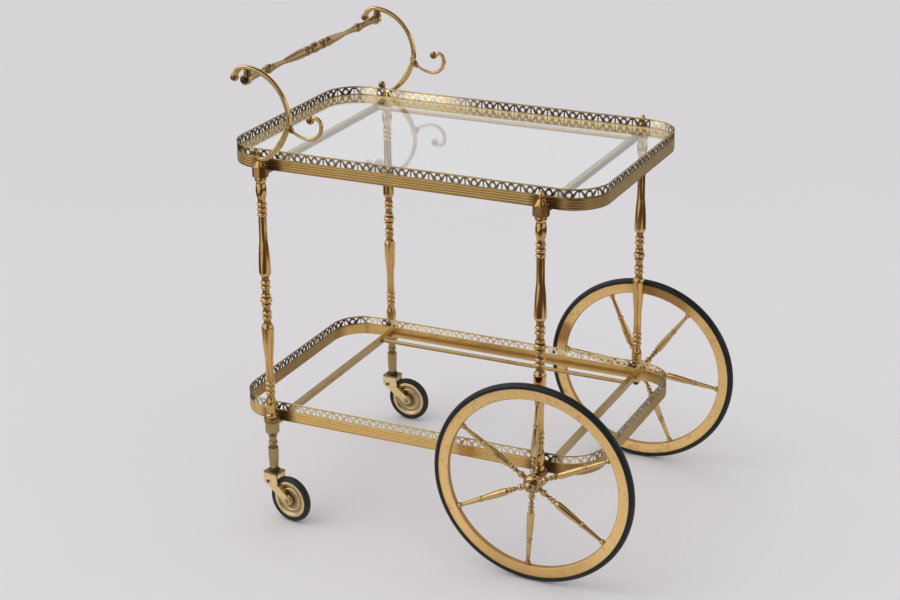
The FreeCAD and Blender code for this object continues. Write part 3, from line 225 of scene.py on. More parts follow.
# %% [markdown]
# ## Groups and materials
# An effect that several finishes share is a group. Each material places it with its own values
# and keeps the shader itself.

# %% Group and material helpers
GROUP_OUTPUTS = {"Colour": "Color", "Roughness": "Float", "Height": "Float"}
BUMP_HEIGHT = 0.2 * MM


def new_group(name, inputs):
    """An empty shader group with inputs of several kinds, which gives a colour, a roughness and a
    height."""
    group = bpy.data.node_groups.new(name, "ShaderNodeTree")
    for way, sockets in (("INPUT", inputs), ("OUTPUT", GROUP_OUTPUTS)):
        for socket, kind in sockets.items():
            group.interface.new_socket(socket, in_out=way, socket_type=f"NodeSocket{kind}")
    return group, group.nodes.new("NodeGroupInput").outputs, group.nodes.new("NodeGroupOutput").inputs


def placed_group(tree, group, values):
    """Place a group in a material with its own values."""
    made = add(tree, "Group", node_tree=group)
    for socket, value in values.items():
        made.inputs[socket].default_value = value
    return made


def new_material(name):
    material = bpy.data.materials.new(name)
    material.use_nodes = True
    material.node_tree.nodes.clear()
    return material, material.node_tree


def finish_with(tree, shader):
    tree.links.new(shader, add(tree, "OutputMaterial").inputs["Surface"])


def finish_with_group(tree, group, bump, metallic, shine=0.5):
    """Finish a material with the colour, roughness and height that a placed group gives."""
    made = group.outputs
    bumped = add(tree, "Bump", {"Height": made["Height"], "Strength": bump, "Distance": BUMP_HEIGHT})
    body = add(tree, "BsdfPrincipled", {
        "Base Color": made["Colour"], "Roughness": made["Roughness"], "Metallic": metallic,
        "Specular IOR Level": shine, "Normal": bumped.outputs["Normal"]})
    finish_with(tree, body.outputs["BSDF"])


print("a group gives", list(GROUP_OUTPUTS))

# %% [markdown]
# ## Worn brass
# Old brass is bright where hands and cloths reach it and brown where they do not: in grooves, in
# soft patches and in small specks. One group makes that mask from two noises and the piece's own
# groove depth, adds a fine grain, and gives a colour, a roughness and a height. Each brass places
# it with its own colours, so that rims, turnings and trays age in the same way but not alike.

# %% Group for worn brass
SPECK_SCALE, GRAIN_SCALE = 520.0, 2600.0
PATCH_EDGE, SPECK_EDGE = (0.50, 0.72), (0.62, 0.72)
DARKEST_TONE, LIGHTEST_TONE = 0.90, 1.06
BROWN_ROUGHENS, GRAIN_ROUGHENS = 0.22, 0.10

worn_brass, given, result = new_group(
    "worn_brass", {"Bright": "Color", "Brown": "Color", "Patch Scale": "Float", "Patches": "Float",
                   "Specks": "Float", "Groove": "Float", "Smooth": "Float"})
tree = worn_brass
clouds = noise(tree, given["Patch Scale"], 6.0, 0.62)
dots = noise(tree, SPECK_SCALE)
grain = noise(tree, GRAIN_SCALE, 3.0)
marks = strongest(tree, (step_between(tree, clouds, *PATCH_EDGE), given["Patches"]),
                  (step_between(tree, dots, *SPECK_EDGE), given["Specks"]))
brown = math(tree, "MAXIMUM", marks, given["Groove"])
tone = add(tree, "MapRange", {"Value": clouds, "From Min": 0.3, "From Max": 0.7,
                              "To Min": DARKEST_TONE, "To Max": LIGHTEST_TONE}).outputs["Result"]
colour = mixed(tree, brown, scaled(tree, given["Bright"], tone), given["Brown"])
rough = math(tree, "ADD", given["Smooth"], math(tree, "MULTIPLY", brown, BROWN_ROUGHENS))
uneven = math(tree, "MULTIPLY", math(tree, "SUBTRACT", grain, 0.5), GRAIN_ROUGHENS)
height = math(tree, "SUBTRACT", math(tree, "MULTIPLY", grain, 0.5), brown)
tree.links.new(colour, result["Colour"])
tree.links.new(math(tree, "ADD", rough, uneven), result["Roughness"])
tree.links.new(height, result["Height"])
print("worn_brass has", len(worn_brass.nodes), "nodes")

# %% [markdown]
# ## Brass finishes
# The turned legs are polished and orange, the trays a little yellower, the wheel rims satin with
# small stains, and the caster forks pale. Each is the same metal shader with other values. The
# groove depth comes from the piece's own attribute, which is zero on a plain solid.

# %% Make the brasses
def brass(name, bright, brown, patch_scale, patches, specks, smooth, bump=0.06, extra_groove=None,
          paler=None, metallic=1.0):
    """Metal with the worn brass group; extra_groove makes a mask that adds brown, and paler is a
    colour, how metallic it is, and a mask of where it takes the place of the bright one."""
    material, tree = new_material(name)
    groove = add(tree, "Attribute", attribute_name="groove").outputs["Fac"]
    if extra_groove:
        groove = math(tree, "MAXIMUM", groove, extra_groove(tree))
    worn = placed_group(tree, worn_brass, {
        "Bright": (*bright, 1), "Brown": (*brown, 1), "Patch Scale": patch_scale,
        "Patches": patches, "Specks": specks, "Smooth": smooth})
    tree.links.new(groove, worn.inputs["Groove"])
    if paler:
        pale, pale_metallic, where = paler
        share = where(tree)
        tree.links.new(mixed(tree, share, (*bright, 1), (*pale, 1)), worn.inputs["Bright"])
        metallic = blend(tree, share, metallic, pale_metallic)
    finish_with_group(tree, worn, bump, metallic)
    return material


# The numbers after both colours are patch scale, patches, specks, smooth and, on castings, bump
turned_brass = brass("turned_brass", (0.72, 0.46, 0.175), (0.12, 0.055, 0.02), 34.0, 0.50, 0.40, 0.12)
spoke_brass = brass("spoke_brass", (0.66, 0.46, 0.20), (0.06, 0.035, 0.012), 42.0, 0.60, 0.50, 0.10)
foot_brass = brass("foot_brass", (0.415, 0.30, 0.13), (0.10, 0.055, 0.02), 34.0, 0.45, 0.40, 0.15)
capital_brass = brass("capital_brass", (0.46, 0.27, 0.10), (0.09, 0.045, 0.018), 60.0, 0.60, 0.50, 0.13)
hub_brass = brass("hub_brass", (0.46, 0.31, 0.14), (0.08, 0.045, 0.02), 90.0, 0.70, 0.50, 0.15)
collar_brass = brass("collar_brass", (0.28, 0.19, 0.09), (0.08, 0.05, 0.02), 80.0, 0.60, 0.50, 0.24)
cast_brass = brass("cast_brass", (0.72, 0.50, 0.21), (0.10, 0.055, 0.02), 55.0, 0.55, 0.45, 0.13, 0.12)
handle_brass = brass("handle_brass", (0.47, 0.33, 0.145), (0.12, 0.070, 0.025), 60.0, 0.50, 0.40, 0.30)
bar_brass = brass("bar_brass", (0.43, 0.30, 0.125), (0.19, 0.090, 0.030), 45.0, 0.5, 0.4, 0.28)
wire_brass = brass("wire_brass", (0.50, 0.36, 0.16), (0.10, 0.055, 0.02), 45.0, 0.6, 0.4, 0.22)
print("brasses from", turned_brass.name, "to", wire_brass.name)

# %% [markdown]
# ## Where a point lies on a tray
# The brass of the trays carries tarnish and painted shade that are not alike everywhere, so three masks
# tell where a point lies. How far it is outside the wall's middle follows from the distance to a rounded
# oblong, which is the distance to its inner oblong less the corner's radius. The second mask tells the
# upper tray by height. The third grows towards the legs, where it places the painted shadow and
# reflection of the legs.

# %% Masks on the trays
TRAY_X, TRAY_LENGTH, TRAY_DEPTH, TRAY_CORNER = -41.5, 600.0, 378.0, 57.0
LEG_PITCH, WALL_MIDDLE, WALL_BLUR = 450.0, 1.25, 0.3
LOWER_TRAY, TRAY_SPACING = 158.0, 409.5


def tray_spot(tree):
    """The point's X, Y and Z in mm, with X counted from the middle of the tray."""
    spot = add(tree, "SeparateXYZ", {0: scaled(tree, own_place(tree), 1 / MM)}).outputs
    return math(tree, "SUBTRACT", spot["X"], TRAY_X), spot["Y"], spot["Z"]


def hypotenuse(tree, first, second):
    """Square root of first^2 + second^2."""
    squares = [math(tree, "MULTIPLY", way, way) for way in (first, second)]
    return math(tree, "SQRT", math(tree, "ADD", *squares))


def outside_wall(tree):
    """0 on the inner side of a tray's wall and 1 on its outer side."""
    x, y, _ = tray_spot(tree)
    rooms = [(x, TRAY_LENGTH / 2 - TRAY_CORNER), (y, TRAY_DEPTH / 2 - TRAY_CORNER)]
    over = [math(tree, "MAXIMUM", math(tree, "SUBTRACT", math(tree, "ABSOLUTE", way), room), 0.0)
            for way, room in rooms]
    middle = TRAY_CORNER - WALL_MIDDLE
    return step_between(tree, hypotenuse(tree, *over), middle - WALL_BLUR, middle + WALL_BLUR)


def in_upper_tray(tree):
    """1 on the upper tray and 0 on the lower one."""
    _, _, z = tray_spot(tree)
    return math(tree, "GREATER_THAN", z, LOWER_TRAY + TRAY_SPACING / 2)


def inside_upper_wall(tree):
    return overlap(tree, in_upper_tray(tree), opposite(tree, outside_wall(tree)))


def near_legs(tree, reach):
    """1 within a third of a reach from a leg along the tray, falling to 0 at the reach."""
    x, _, _ = tray_spot(tree)
    away = math(tree, "ABSOLUTE", math(tree, "SUBTRACT", math(tree, "ABSOLUTE", x), LEG_PITCH / 2))
    return fall_between(tree, away, reach / 3, reach)


print("a tray is", TRAY_LENGTH, "x", TRAY_DEPTH, "mm")

# %% [markdown]
# ## Tray bands
# A band has four reeds outside. Polish never reaches the lines between them, so they stay brown.
# Both bands have the same section one tray spacing apart, so the height above the lower band, taken
# modulo that spacing, tells where on the section a point lies. Inside, the wall is plain, and in the
# upper tray it is painted paler and less metallic, as painted light. Painted shadow and reflection
# darken the bands close to the legs, and painted shade darkens their wheel end.

# %% Lines between the reeds
BAND_HEIGHT, BAND_LIP, REEDS = 17.5, 1.2, 4
REED_PITCH = (BAND_HEIGHT - 2 * BAND_LIP) / REEDS
LINE_EDGE = (0.05, 0.17)
LOWER_LINES, UPPER_LINES = 0.22, 0.72
BAND_WHEEL_END, BAND_HANDLE_END = (225.0, 290.0), (-298.0, -285.0)
BAND_LEG_REACH = 40.0


def band_tarnish_and_shade(tree):
    """Brown in the lines between two reeds, outside the upper tray and at the handle end of the lower
    one, with painted shadow and reflection of the legs near them and painted shade at the wheel end of
    both trays."""
    x, _, z = tray_spot(tree)
    upper = in_upper_tray(tree)
    outside = outside_wall(tree)
    level = math(tree, "MODULO", math(tree, "SUBTRACT", z, LOWER_TRAY), TRAY_SPACING)
    lines = math(tree, "DIVIDE", math(tree, "SUBTRACT", level, BAND_LIP), REED_PITCH)
    off_line = math(tree, "ABSOLUTE", math(tree, "SUBTRACT", lines, math(tree, "ROUND", lines)))
    grooves = overlap(tree, fall_between(tree, off_line, *LINE_EDGE), outside)
    line_strength = blend(tree, upper, LOWER_LINES, UPPER_LINES)
    behind_legs = overlap(tree, near_legs(tree, BAND_LEG_REACH), outside)
    wheel_end = step_between(tree, x, *BAND_WHEEL_END)
    handle_end = overlap(tree, fall_between(tree, x, *BAND_HANDLE_END), opposite(tree, upper))
    return strongest(tree, (grooves, line_strength), (overlap(tree, upper, outside), 0.36),
                     (behind_legs, 0.95), (wheel_end, 0.52), (handle_end, 0.55))


# The paler, less metallic colour inside the upper wall is painted light
band_brass = brass("band_brass", (0.72, 0.475, 0.172), (0.10, 0.05, 0.02), 38.0, 0.34, 0.30, 0.22,
                   extra_groove=band_tarnish_and_shade, paler=((1.0, 0.77, 0.32), 0.35, inside_upper_wall))
print("a reed is", round(REED_PITCH, 2), "mm high")

# %% [markdown]
# ## Gallery brass
# The upper gallery is brown outside, partly as tarnish from handling and partly as painted shade, and
# painted shade darkens the inside of its rear towards the wheels. Both galleries have painted shade at
# their two ends and painted shadow and reflection close to the legs, and the lower one is bright
# elsewhere. The pale bright colour left inside the rear of the upper gallery is a painted glow.

# %% Tarnish of the galleries
LOWER_OUTSIDE, UPPER_OUTSIDE = 0.25, 0.80
GALLERY_HANDLE_END, GALLERY_WHEEL_END = (-275.0, -250.0), (276.0, 294.0)
REAR_SHADE_GROWS, REAR_CORNER = (-130.0, -30.0), 244.0
FRONT_LEG_REACH, REAR_LEG_REACH = 42.0, 12.0


def gallery_tarnish_and_shade(tree):
    """Brown by the tray, the side of the wall and the place along it: tarnish and painted shade outside,
    painted shade and shadow elsewhere.
    """
    x, y, _ = tray_spot(tree)
    upper = in_upper_tray(tree)
    rear = math(tree, "GREATER_THAN", y, 0.0)
    outer_strength = blend(tree, upper, LOWER_OUTSIDE, UPPER_OUTSIDE)
    handle_end = fall_between(tree, x, *GALLERY_HANDLE_END)
    wheel_end = step_between(tree, x, *GALLERY_WHEEL_END)
    before_corner = math(tree, "LESS_THAN", x, REAR_CORNER)
    wheel_half = overlap(tree, rear, upper, before_corner, step_between(tree, x, *REAR_SHADE_GROWS))
    by_front_legs = overlap(tree, near_legs(tree, FRONT_LEG_REACH), opposite(tree, rear))
    by_rear_legs = overlap(tree, near_legs(tree, REAR_LEG_REACH), rear)
    return strongest(tree, (outside_wall(tree), outer_strength), (handle_end, 0.97), (wheel_half, 0.96),
                     (wheel_end, 0.80), (by_front_legs, 0.95), (by_rear_legs, 0.95))


# The pale bright colour paints the glow inside the rear of the upper gallery
gallery_brass = brass("gallery_brass", (0.95, 0.80, 0.50), (0.065, 0.038, 0.018), 60.0, 0.40, 0.35, 0.22,
                      extra_groove=gallery_tarnish_and_shade)
print("the gallery stands", WALL_MIDDLE, "mm inside the tray's outline")

# %% [markdown]
# ## Rim brass
# The rims are satin and lightly stained, with a film of lacquer that makes them a little less like a
# mirror. A painted shade darkens their inner edge, so the distance from the axle decides there. The rear
# rim also has two large brown stains, and a broad painted shade darkens the front rim towards the
# bottom.

# %% Satin rims
WHEEL_X, AXLE_HEIGHT, RIM_INNER = 183.5, 158.0, 134.0
# A painted shade along the rim's inner edge
INNER_EDGE_SHADE = (RIM_INNER + 0.4, RIM_INNER + 1.6)
# Two stains on the rear rim and a painted shade low on the front rim: x and z from the axle, reach,
# strength and side
STAINS_AND_SHADE = [(40.0, 138.0, 75.0, 0.85, 1), (-138.0, 45.0, 30.0, 0.80, 1), (0.0, -150.0, 150.0, 0.42, -1)]


def distance(tree, x, z, from_x, from_z):
    """Distance in the wheel's plane from a point."""
    return hypotenuse(tree, math(tree, "SUBTRACT", x, from_x), math(tree, "SUBTRACT", z, from_z))


def rim_stains_and_shade(tree):
    """Painted shade close to the rim's inner radius, and dark spots: x and z from the axle, reach,
    strength, and the side of the cart, 1 for the rear and -1 for the front. The rear spots are stains,
    the front one a painted shade."""
    x, y, z = tray_spot(tree)
    axle_x = WHEEL_X - TRAY_X
    radius = distance(tree, x, z, axle_x, AXLE_HEIGHT)
    stains_and_shade = [(fall_between(tree, radius, *INNER_EDGE_SHADE), 0.80)]
    for off_x, off_z, reach, strength, side in STAINS_AND_SHADE:
        away = distance(tree, x, z, axle_x + off_x, AXLE_HEIGHT + off_z)
        on_side = math(tree, "GREATER_THAN", math(tree, "MULTIPLY", y, side), 0.0)
        stains_and_shade.append((overlap(tree, fall_between(tree, away, reach / 3, reach), on_side), strength))
    return strongest(tree, *stains_and_shade)


rim_brass = brass("rim_brass", (1.0, 0.68, 0.28), (0.40, 0.21, 0.07), 60.0, 0.45, 0.75, 0.42, 0.10,
                  extra_groove=rim_stains_and_shade, metallic=0.80)
print("the rim starts", RIM_INNER, "mm from the axle")

# %% [markdown]
# ## Caster brass
# The pressed forks are pale and satin. Their top plate, next to the swivel, is darker, so the height of
# a point decides how dark it is.

# %% Pale forks with a dark top
FORK_TOP = 78.6
DARK_TOP_GROWS, DARK_TOP_STRENGTH = (FORK_TOP - 4.0, FORK_TOP - 2.0), 0.8


def dark_top(tree):
    """Dark from just below the fork's top plate upwards."""
    _, _, z = tray_spot(tree)
    return strongest(tree, (step_between(tree, z, *DARK_TOP_GROWS), DARK_TOP_STRENGTH))


fork_brass = brass("fork_brass", (0.92, 0.73, 0.38), (0.16, 0.10, 0.04), 70.0, 0.30, 0.40, 0.30,
                   extra_groove=dark_top)
disc_brass = brass("disc_brass", (0.82, 0.63, 0.33), (0.09, 0.06, 0.03), 90.0, 0.45, 0.50, 0.14)
print("the fork is dark above", DARK_TOP_GROWS[1], "mm")

# %% [markdown]
# ## Rubber, dark metal, black caps and steel
# Tyres are black with a soft sheen and a little grey dust, which a noise spreads unevenly. The
# swivel collars are dark and oily, the caps black and glossy. One group makes the film of dust.

# %% Dust group and its finishes
DUST_SCALE, DUST_GRAIN_SCALE = 70.0, 1500.0
DUST_EDGE = (0.42, 0.75)
DUST_ROUGHENS, DUST_GRAIN_ROUGHENS = 0.5, 0.12
COATING_SHINE = 0.35

dusty, given, result = new_group(
    "dusty", {"Clean": "Color", "Dust": "Color", "Amount": "Float", "Smooth": "Float"})
drift = noise(dusty, DUST_SCALE, 7.0, 0.7)
fine = noise(dusty, DUST_GRAIN_SCALE)
film = math(dusty, "MULTIPLY", step_between(dusty, drift, *DUST_EDGE), given["Amount"])
matt = math(dusty, "ADD", given["Smooth"], math(dusty, "MULTIPLY", film, DUST_ROUGHENS))
uneven = math(dusty, "MULTIPLY", math(dusty, "SUBTRACT", fine, 0.5), DUST_GRAIN_ROUGHENS)
dusty.links.new(mixed(dusty, film, given["Clean"], given["Dust"]), result["Colour"])
dusty.links.new(math(dusty, "ADD", matt, uneven), result["Roughness"])
dusty.links.new(fine, result["Height"])


def coated(name, clean, dust, amount, smooth, bump, metallic=0.0):
    """A surface under a thin uneven film of dust or oil."""
    material, tree = new_material(name)
    film = placed_group(tree, dusty, {"Clean": (*clean, 1), "Dust": (*dust, 1), "Amount": amount,
                                      "Smooth": smooth})
    finish_with_group(tree, film, bump, metallic, COATING_SHINE)
    return material


wheel_rubber = coated("wheel_rubber", (0.005, 0.007, 0.007), (0.05, 0.05, 0.05), 0.18, 0.36, 0.10)
caster_rubber = coated("caster_rubber", (0.010, 0.010, 0.010), (0.09, 0.085, 0.08), 0.30, 0.50, 0.15)
dark_stem = coated("dark_stem", (0.060, 0.045, 0.028), (0.24, 0.17, 0.09), 0.60, 0.36, 0.10, 0.8)
black_cap = coated("black_cap", (0.012, 0.012, 0.012), (0.10, 0.10, 0.10), 0.15, 0.22, 0.03)
steel = coated("steel", (0.52, 0.51, 0.49), (0.30, 0.22, 0.14), 0.40, 0.30, 0.05, 1.0)
print("dusty has", len(dusty.nodes), "nodes")

# %% [markdown]
# ## Glass
# Glass is clear with a faint green, dulled a little by smudges and strongly on its ground edge.
# It lets lamps shine through, because a pane only weakens a shadow.

# %% Make the glass
GLASS_TINT, GLASS_IOR = (0.945, 0.965, 0.96, 1), 1.47
WIPE_SCALE, WIPE_EDGE = 9.0, (0.45, 0.8)
SMUDGE_DULL, GROUND_DULL = 0.05, 0.9

glass, tree = new_material("glass")
wipes = noise(tree, WIPE_SCALE, 8.0, 0.75)
ground = add(tree, "Attribute", attribute_name="groove").outputs["Fac"]
dull = strongest(tree, (step_between(tree, wipes, *WIPE_EDGE), SMUDGE_DULL), (ground, GROUND_DULL))
clear_body = add(tree, "BsdfPrincipled", {"Base Color": GLASS_TINT, "Roughness": dull, "IOR": GLASS_IOR,
                                          "Transmission Weight": 1.0})
for_lamps = add(tree, "BsdfTransparent", {"Color": GLASS_TINT})
both = add(tree, "MixShader", {0: add(tree, "LightPath").outputs["Is Shadow Ray"],
                               1: clear_body.outputs["BSDF"], 2: for_lamps.outputs["BSDF"]})
finish_with(tree, both.outputs["Shader"])
print("the glass lets through", GLASS_TINT[:3])

# %% [markdown]
# ## Finishes on the solids
# Each solid keeps its mesh and gets its finish through its material slot. The list goes from the
# most particular names to the broadest, and the first word that a node's name contains decides.

# %% Hand out the finishes
FINISHES = [
    ("glass", glass), ("band", band_brass), ("gallery", gallery_brass), ("crossbar", bar_brass),
    ("rail", bar_brass), ("tie_rods", steel), ("caster_axle", bar_brass), ("wheel_axles", steel),
    ("wheel_tyre", wheel_rubber), ("caster_tyre", caster_rubber), ("wheel_rim", rim_brass),
    ("caster_fork", fork_brass), ("caster_disc", disc_brass), ("caster_stem", dark_stem),
    ("collars", collar_brass), ("capital", capital_brass), ("plugs", black_cap), ("caps", black_cap),
    ("wheel_hub", hub_brass), ("axle_nuts", hub_brass),
    ("", turned_brass),
]
for node, item in nodes.items():
    finish = next(finish for word, finish in FINISHES if word in node)
    for place in item.material_slots:
        place.material = finish
print("solids with a finish:", sum(bool(item.material_slots) for item in nodes.values()))

# %% [markdown]
# ## Floor
# The cart stands on pale paper with a painted shade that makes it a little lighter near the camera and a
# little darker away from it. It reaches so far that its edge is never seen. How far a point lies beyond
# the cart is the dot product of its place and the level direction away from the camera.

# %% Lay the paper
FLOOR_COLOUR, FLOOR_REACH = np.array([0.700, 0.680, 0.707]), 40.0
FIBRE_SCALE, FIBRE_SHADE = 3.0, 0.985
# Painted light near the camera and painted shade away from it
NEAR_PLACE, NEAR_PAINTED_LIGHT, FAR_PLACE, FAR_PAINTED_SHADE = -1.0, 1.05, 2.0, 0.955
SHEET_POINTS = 9


def flat_sheet(name, corner, first_way, second_way, finish):
    """A flat sheet, in metres: corner + s x first way + t x second way, with s and t from 0 to 1."""
    share = np.linspace(0, 1, SHEET_POINTS)
    s, t = np.meshgrid(share, share, indexing="ij")
    points = np.array(corner) + s[..., None] * np.array(first_way) + t[..., None] * np.array(second_way)
    sheet = put_piece(name, [shell(points / MM, wrap_columns=False)], finish, crease=40)
    return sheet


def paint(tree, colour):
    return add(tree, "BsdfDiffuse", {"Color": colour}).outputs["BSDF"]


def along(tree, way):
    """How far a point lies along a direction, in metres."""
    made = add(tree, "VectorMath", {0: own_place(tree), 1: way}, operation="DOT_PRODUCT")
    return made.outputs["Value"]


paper, tree = new_material("paper")
white = mixed(tree, noise(tree, FIBRE_SCALE), (*FLOOR_COLOUR, 1), (*(FIBRE_SHADE * FLOOR_COLOUR), 1))
shade = add(tree, "MapRange", {"Value": along(tree, level_beyond), "From Min": NEAR_PLACE,
                               "From Max": FAR_PLACE, "To Min": NEAR_PAINTED_LIGHT, "To Max": FAR_PAINTED_SHADE})
finish_with(tree, paint(tree, scaled(tree, white, shade.outputs["Result"])))
flat_sheet("floor", (-FLOOR_REACH, -FLOOR_REACH, 0), (2 * FLOOR_REACH, 0, 0),
           (0, 2 * FLOOR_REACH, 0), paper)

# %% [markdown]
# ## Cards round the stage
# Polished brass would look pale all over on white paper. A studio is dark beyond the paper, so a
# dark card lies on the floor in front of the paper and beside it, tall ones stand behind the
# camera and far behind the cart on the left, and one hangs above as a ceiling. Only reflections
# see them. A bright card low on the left is seen only in brass and through the pane, which makes
# the inner side of the rear gallery glow.

# %% Set up the cards
CARD_COLOUR, CEILING_COLOUR = (0.10, 0.072, 0.052, 1), (0.17, 0.125, 0.085, 1)
FRONT_EDGE, FRONT_LEFT_END = (-1.05, -0.55), (-1.30, -1.05)
LEFT_EDGE, LEFT_NEAR_END = (-1.15, -0.85), (-0.55, -0.35)
RIGHT_EDGE = (1.0, 1.3)
GLOW_COLOUR, GLOW_EDGE = (1.0, 0.93, 0.80, 1), (-0.84, -0.60)
GLOW_RIGHT, GLOW_LEFT = 0.80, 2.00


def seen_only_by(kind, sheet):
    """Hide a sheet from every kind of ray but one."""
    for other in ("camera", "diffuse", "glossy", "transmission", "shadow"):
        setattr(sheet, f"visible_{other}", other == kind)


def shown_where(tree, mask, shader):
    """Finish a material that is there where a mask is 1 and clear elsewhere."""
    clear = add(tree, "BsdfTransparent")
    both = add(tree, "MixShader", {0: mask, 1: clear.outputs["BSDF"], 2: shader})
    finish_with(tree, both.outputs["Shader"])


dark, tree = new_material("dark_card")
in_depth = along(tree, (0, 1, 0))
beside = along(tree, level_right)
in_front = overlap(tree, fall_between(tree, in_depth, *FRONT_EDGE),
                   step_between(tree, beside, *FRONT_LEFT_END))
on_left = overlap(tree, fall_between(tree, beside, *LEFT_EDGE),
                  step_between(tree, along(tree, level_beyond), *LEFT_NEAR_END))
on_right = step_between(tree, beside, *RIGHT_EDGE)
covered = math(tree, "MAXIMUM", math(tree, "MAXIMUM", in_front, on_left), on_right)
shown_where(tree, covered, paint(tree, CARD_COLOUR))

ceiling, tree = new_material("dark_ceiling")
finish_with(tree, paint(tree, CEILING_COLOUR))

glow, tree = new_material("bright_card")
on_left = fall_between(tree, along(tree, (1, 0, 0)), *GLOW_EDGE)
strength = blend(tree, on_left, GLOW_RIGHT, GLOW_LEFT)
in_metal = math(tree, "MINIMUM", add(tree, "LightPath").outputs["Glossy Depth"], 1.0)
shine = add(tree, "Emission", {"Color": GLOW_COLOUR, "Strength": strength})
shown_where(tree, in_metal, shine.outputs["Emission"])

CARDS = [
    ("card_on_floor", (-4, -6, 0.002), (8, 0, 0), (0, 9, 0), dark, "glossy"),
    ("card_behind_camera", (-0.6, -3.6, 0.3), (4.6, 1.0, 0), (0, 0.2, 3.6), dark, "glossy"),
    ("card_above", (-1.3, -1.0, 3.0), (6.0, 0, 0), (0, 4.2, 0), ceiling, "glossy"),
    ("card_behind_cart", (-4.6, 2.6, 0.25), (3.9, 1.2, 0), (0, 0, 1.25), ceiling, "glossy"),
    ("card_in_gallery", (-1.6, -2.7, 0.004), (1.5, 0, 0), (0, 1.9, 0), glow, "transmission"),
]
for *card, kind in CARDS:
    seen_only_by(kind, flat_sheet(*card))

# %% [markdown]
# ## Light
# A wide sun from the left makes the soft shadow and an even pale world fills the rest. Together
# they light a surface at about its own colour.

# %% Light the stage
WORLD_LIGHT, SUN_LIGHT, SUN_WIDTH = 0.86, 0.72, 60
SUN_COLOUR, SUN_FROM = (1.0, 0.98, 0.95), np.array([-0.72, -0.35, 0.85])

world = bpy.data.worlds.new("studio")
bpy.context.scene.world = world
world.use_nodes = True
sky = world.node_tree.nodes["Background"].inputs
sky["Color"].default_value = (1, 1, 1, 1)
sky["Strength"].default_value = WORLD_LIGHT

sun = bpy.data.objects.new("key_light", bpy.data.lights.new("key_light", "SUN"))
bpy.context.scene.collection.objects.link(sun)
sun.data.energy = SUN_LIGHT
sun.data.angle = np.radians(SUN_WIDTH)
sun.data.color = SUN_COLOUR
towards = SUN_FROM / np.linalg.norm(SUN_FROM)
across = np.cross([0, 0, 1], towards)
across /= np.linalg.norm(across)
sun_axes = np.column_stack([across, np.cross(towards, across), towards])
sun.matrix_world = Matrix(sun_axes.tolist()).to_4x4()
print("sun from", np.round(towards, 2), "share of light", round(SUN_LIGHT * towards[2] / np.pi, 2))

# %% [markdown]
# ## Turned pieces
# A lathe makes a piece from one outline: radius against length. Here the outline is a list of
# stops, and the run up to a stop may swell like a bead or, more gently, like a belly. The outline
# is swung about its axis, which gives the surface. Where the outline lies well inside the
# line of its neighbours it is a groove, and that depth is kept on the mesh for the tarnish.

# %% Outline and lathe
BEAD, BELLY = 0.5, 1.0
STRAIGHT_SAMPLES = 3
GROOVE_WITHIN, GROOVE_FULL = 4.5, 2.2
GROOVE_START, GROOVE_MOST = 0.25, 0.85


def outline(stops, samples=11):
    """Radius and length in mm along stops (radius, length) or (radius, length, swell, form). Between
    two stops the radius is the straight run plus swell x sin(pi t)^form: form 0.5 is a full bead
    and 1.0 a shallow belly."""
    runs = []
    for before, stop in zip(stops, stops[1:]):
        swell, form = stop[2:] or (0.0, BELLY)
        count = samples if swell else STRAIGHT_SAMPLES
        share = (1 - np.cos(np.pi * np.linspace(0, 1, count))) / 2
        radius = before[0] + (stop[0] - before[0]) * share
        radius = radius + swell * np.clip(np.sin(np.pi * share), 0, 1) ** form
        runs.append(np.column_stack([radius, before[1] + (stop[1] - before[1]) * share]))
    line = np.concatenate(runs)
    kept = np.r_[True, np.linalg.norm(np.diff(line, axis=0), axis=1) > 1e-6]
    return line[kept]


def mirrored(half):
    """An outline from its half, which starts at the middle."""
    return np.concatenate([half[::-1] * [1, -1], half[1:]])


def groove_depth(line):
    """How far each point of an outline lies below the widest radius near it, 0 to most."""
    near = np.abs(line[:, None, 1] - line[None, :, 1]) < GROOVE_WITHIN
    widest = np.where(near, line[None, :, 0], 0).max(1)
    return np.clip((widest - line[:, 0]) / GROOVE_FULL - GROOVE_START, 0, 1) * GROOVE_MOST


def turned(line, centre, axis, around=48, groove=None):
    """Swing an outline about an axis: centre + length x axis + radius x (cos a x u + sin a x v)."""
    axis = np.asarray(axis, float) / np.linalg.norm(axis)
    u = np.cross(axis, [0, 1, 0] if abs(axis[1]) < 0.9 else [1, 0, 0])
    u /= np.linalg.norm(u)
    v = np.cross(axis, u)
    angle = np.linspace(0, 2 * np.pi, around, endpoint=False)
    ring = np.cos(angle)[:, None] * u + np.sin(angle)[:, None] * v
    points = np.asarray(centre) + line[:, None, 1:] * axis + line[:, None, :1] * ring
    depth = groove_depth(line) if groove is None else groove
    return shell(points, groove=depth[:, None])


print("a bead of 2 mm on a neck of 5 mm reaches", outline([(5, 0), (5, 4, 2, BEAD)])[:, 0].max())

# %% [markdown]
# ## Spindles
# The four columns between the trays are the same above and below their middle ring: beads, a
# belly that tapers to a slim shaft, three more beads, and an upper belly below the capital. One
# half is written down and mirrored.

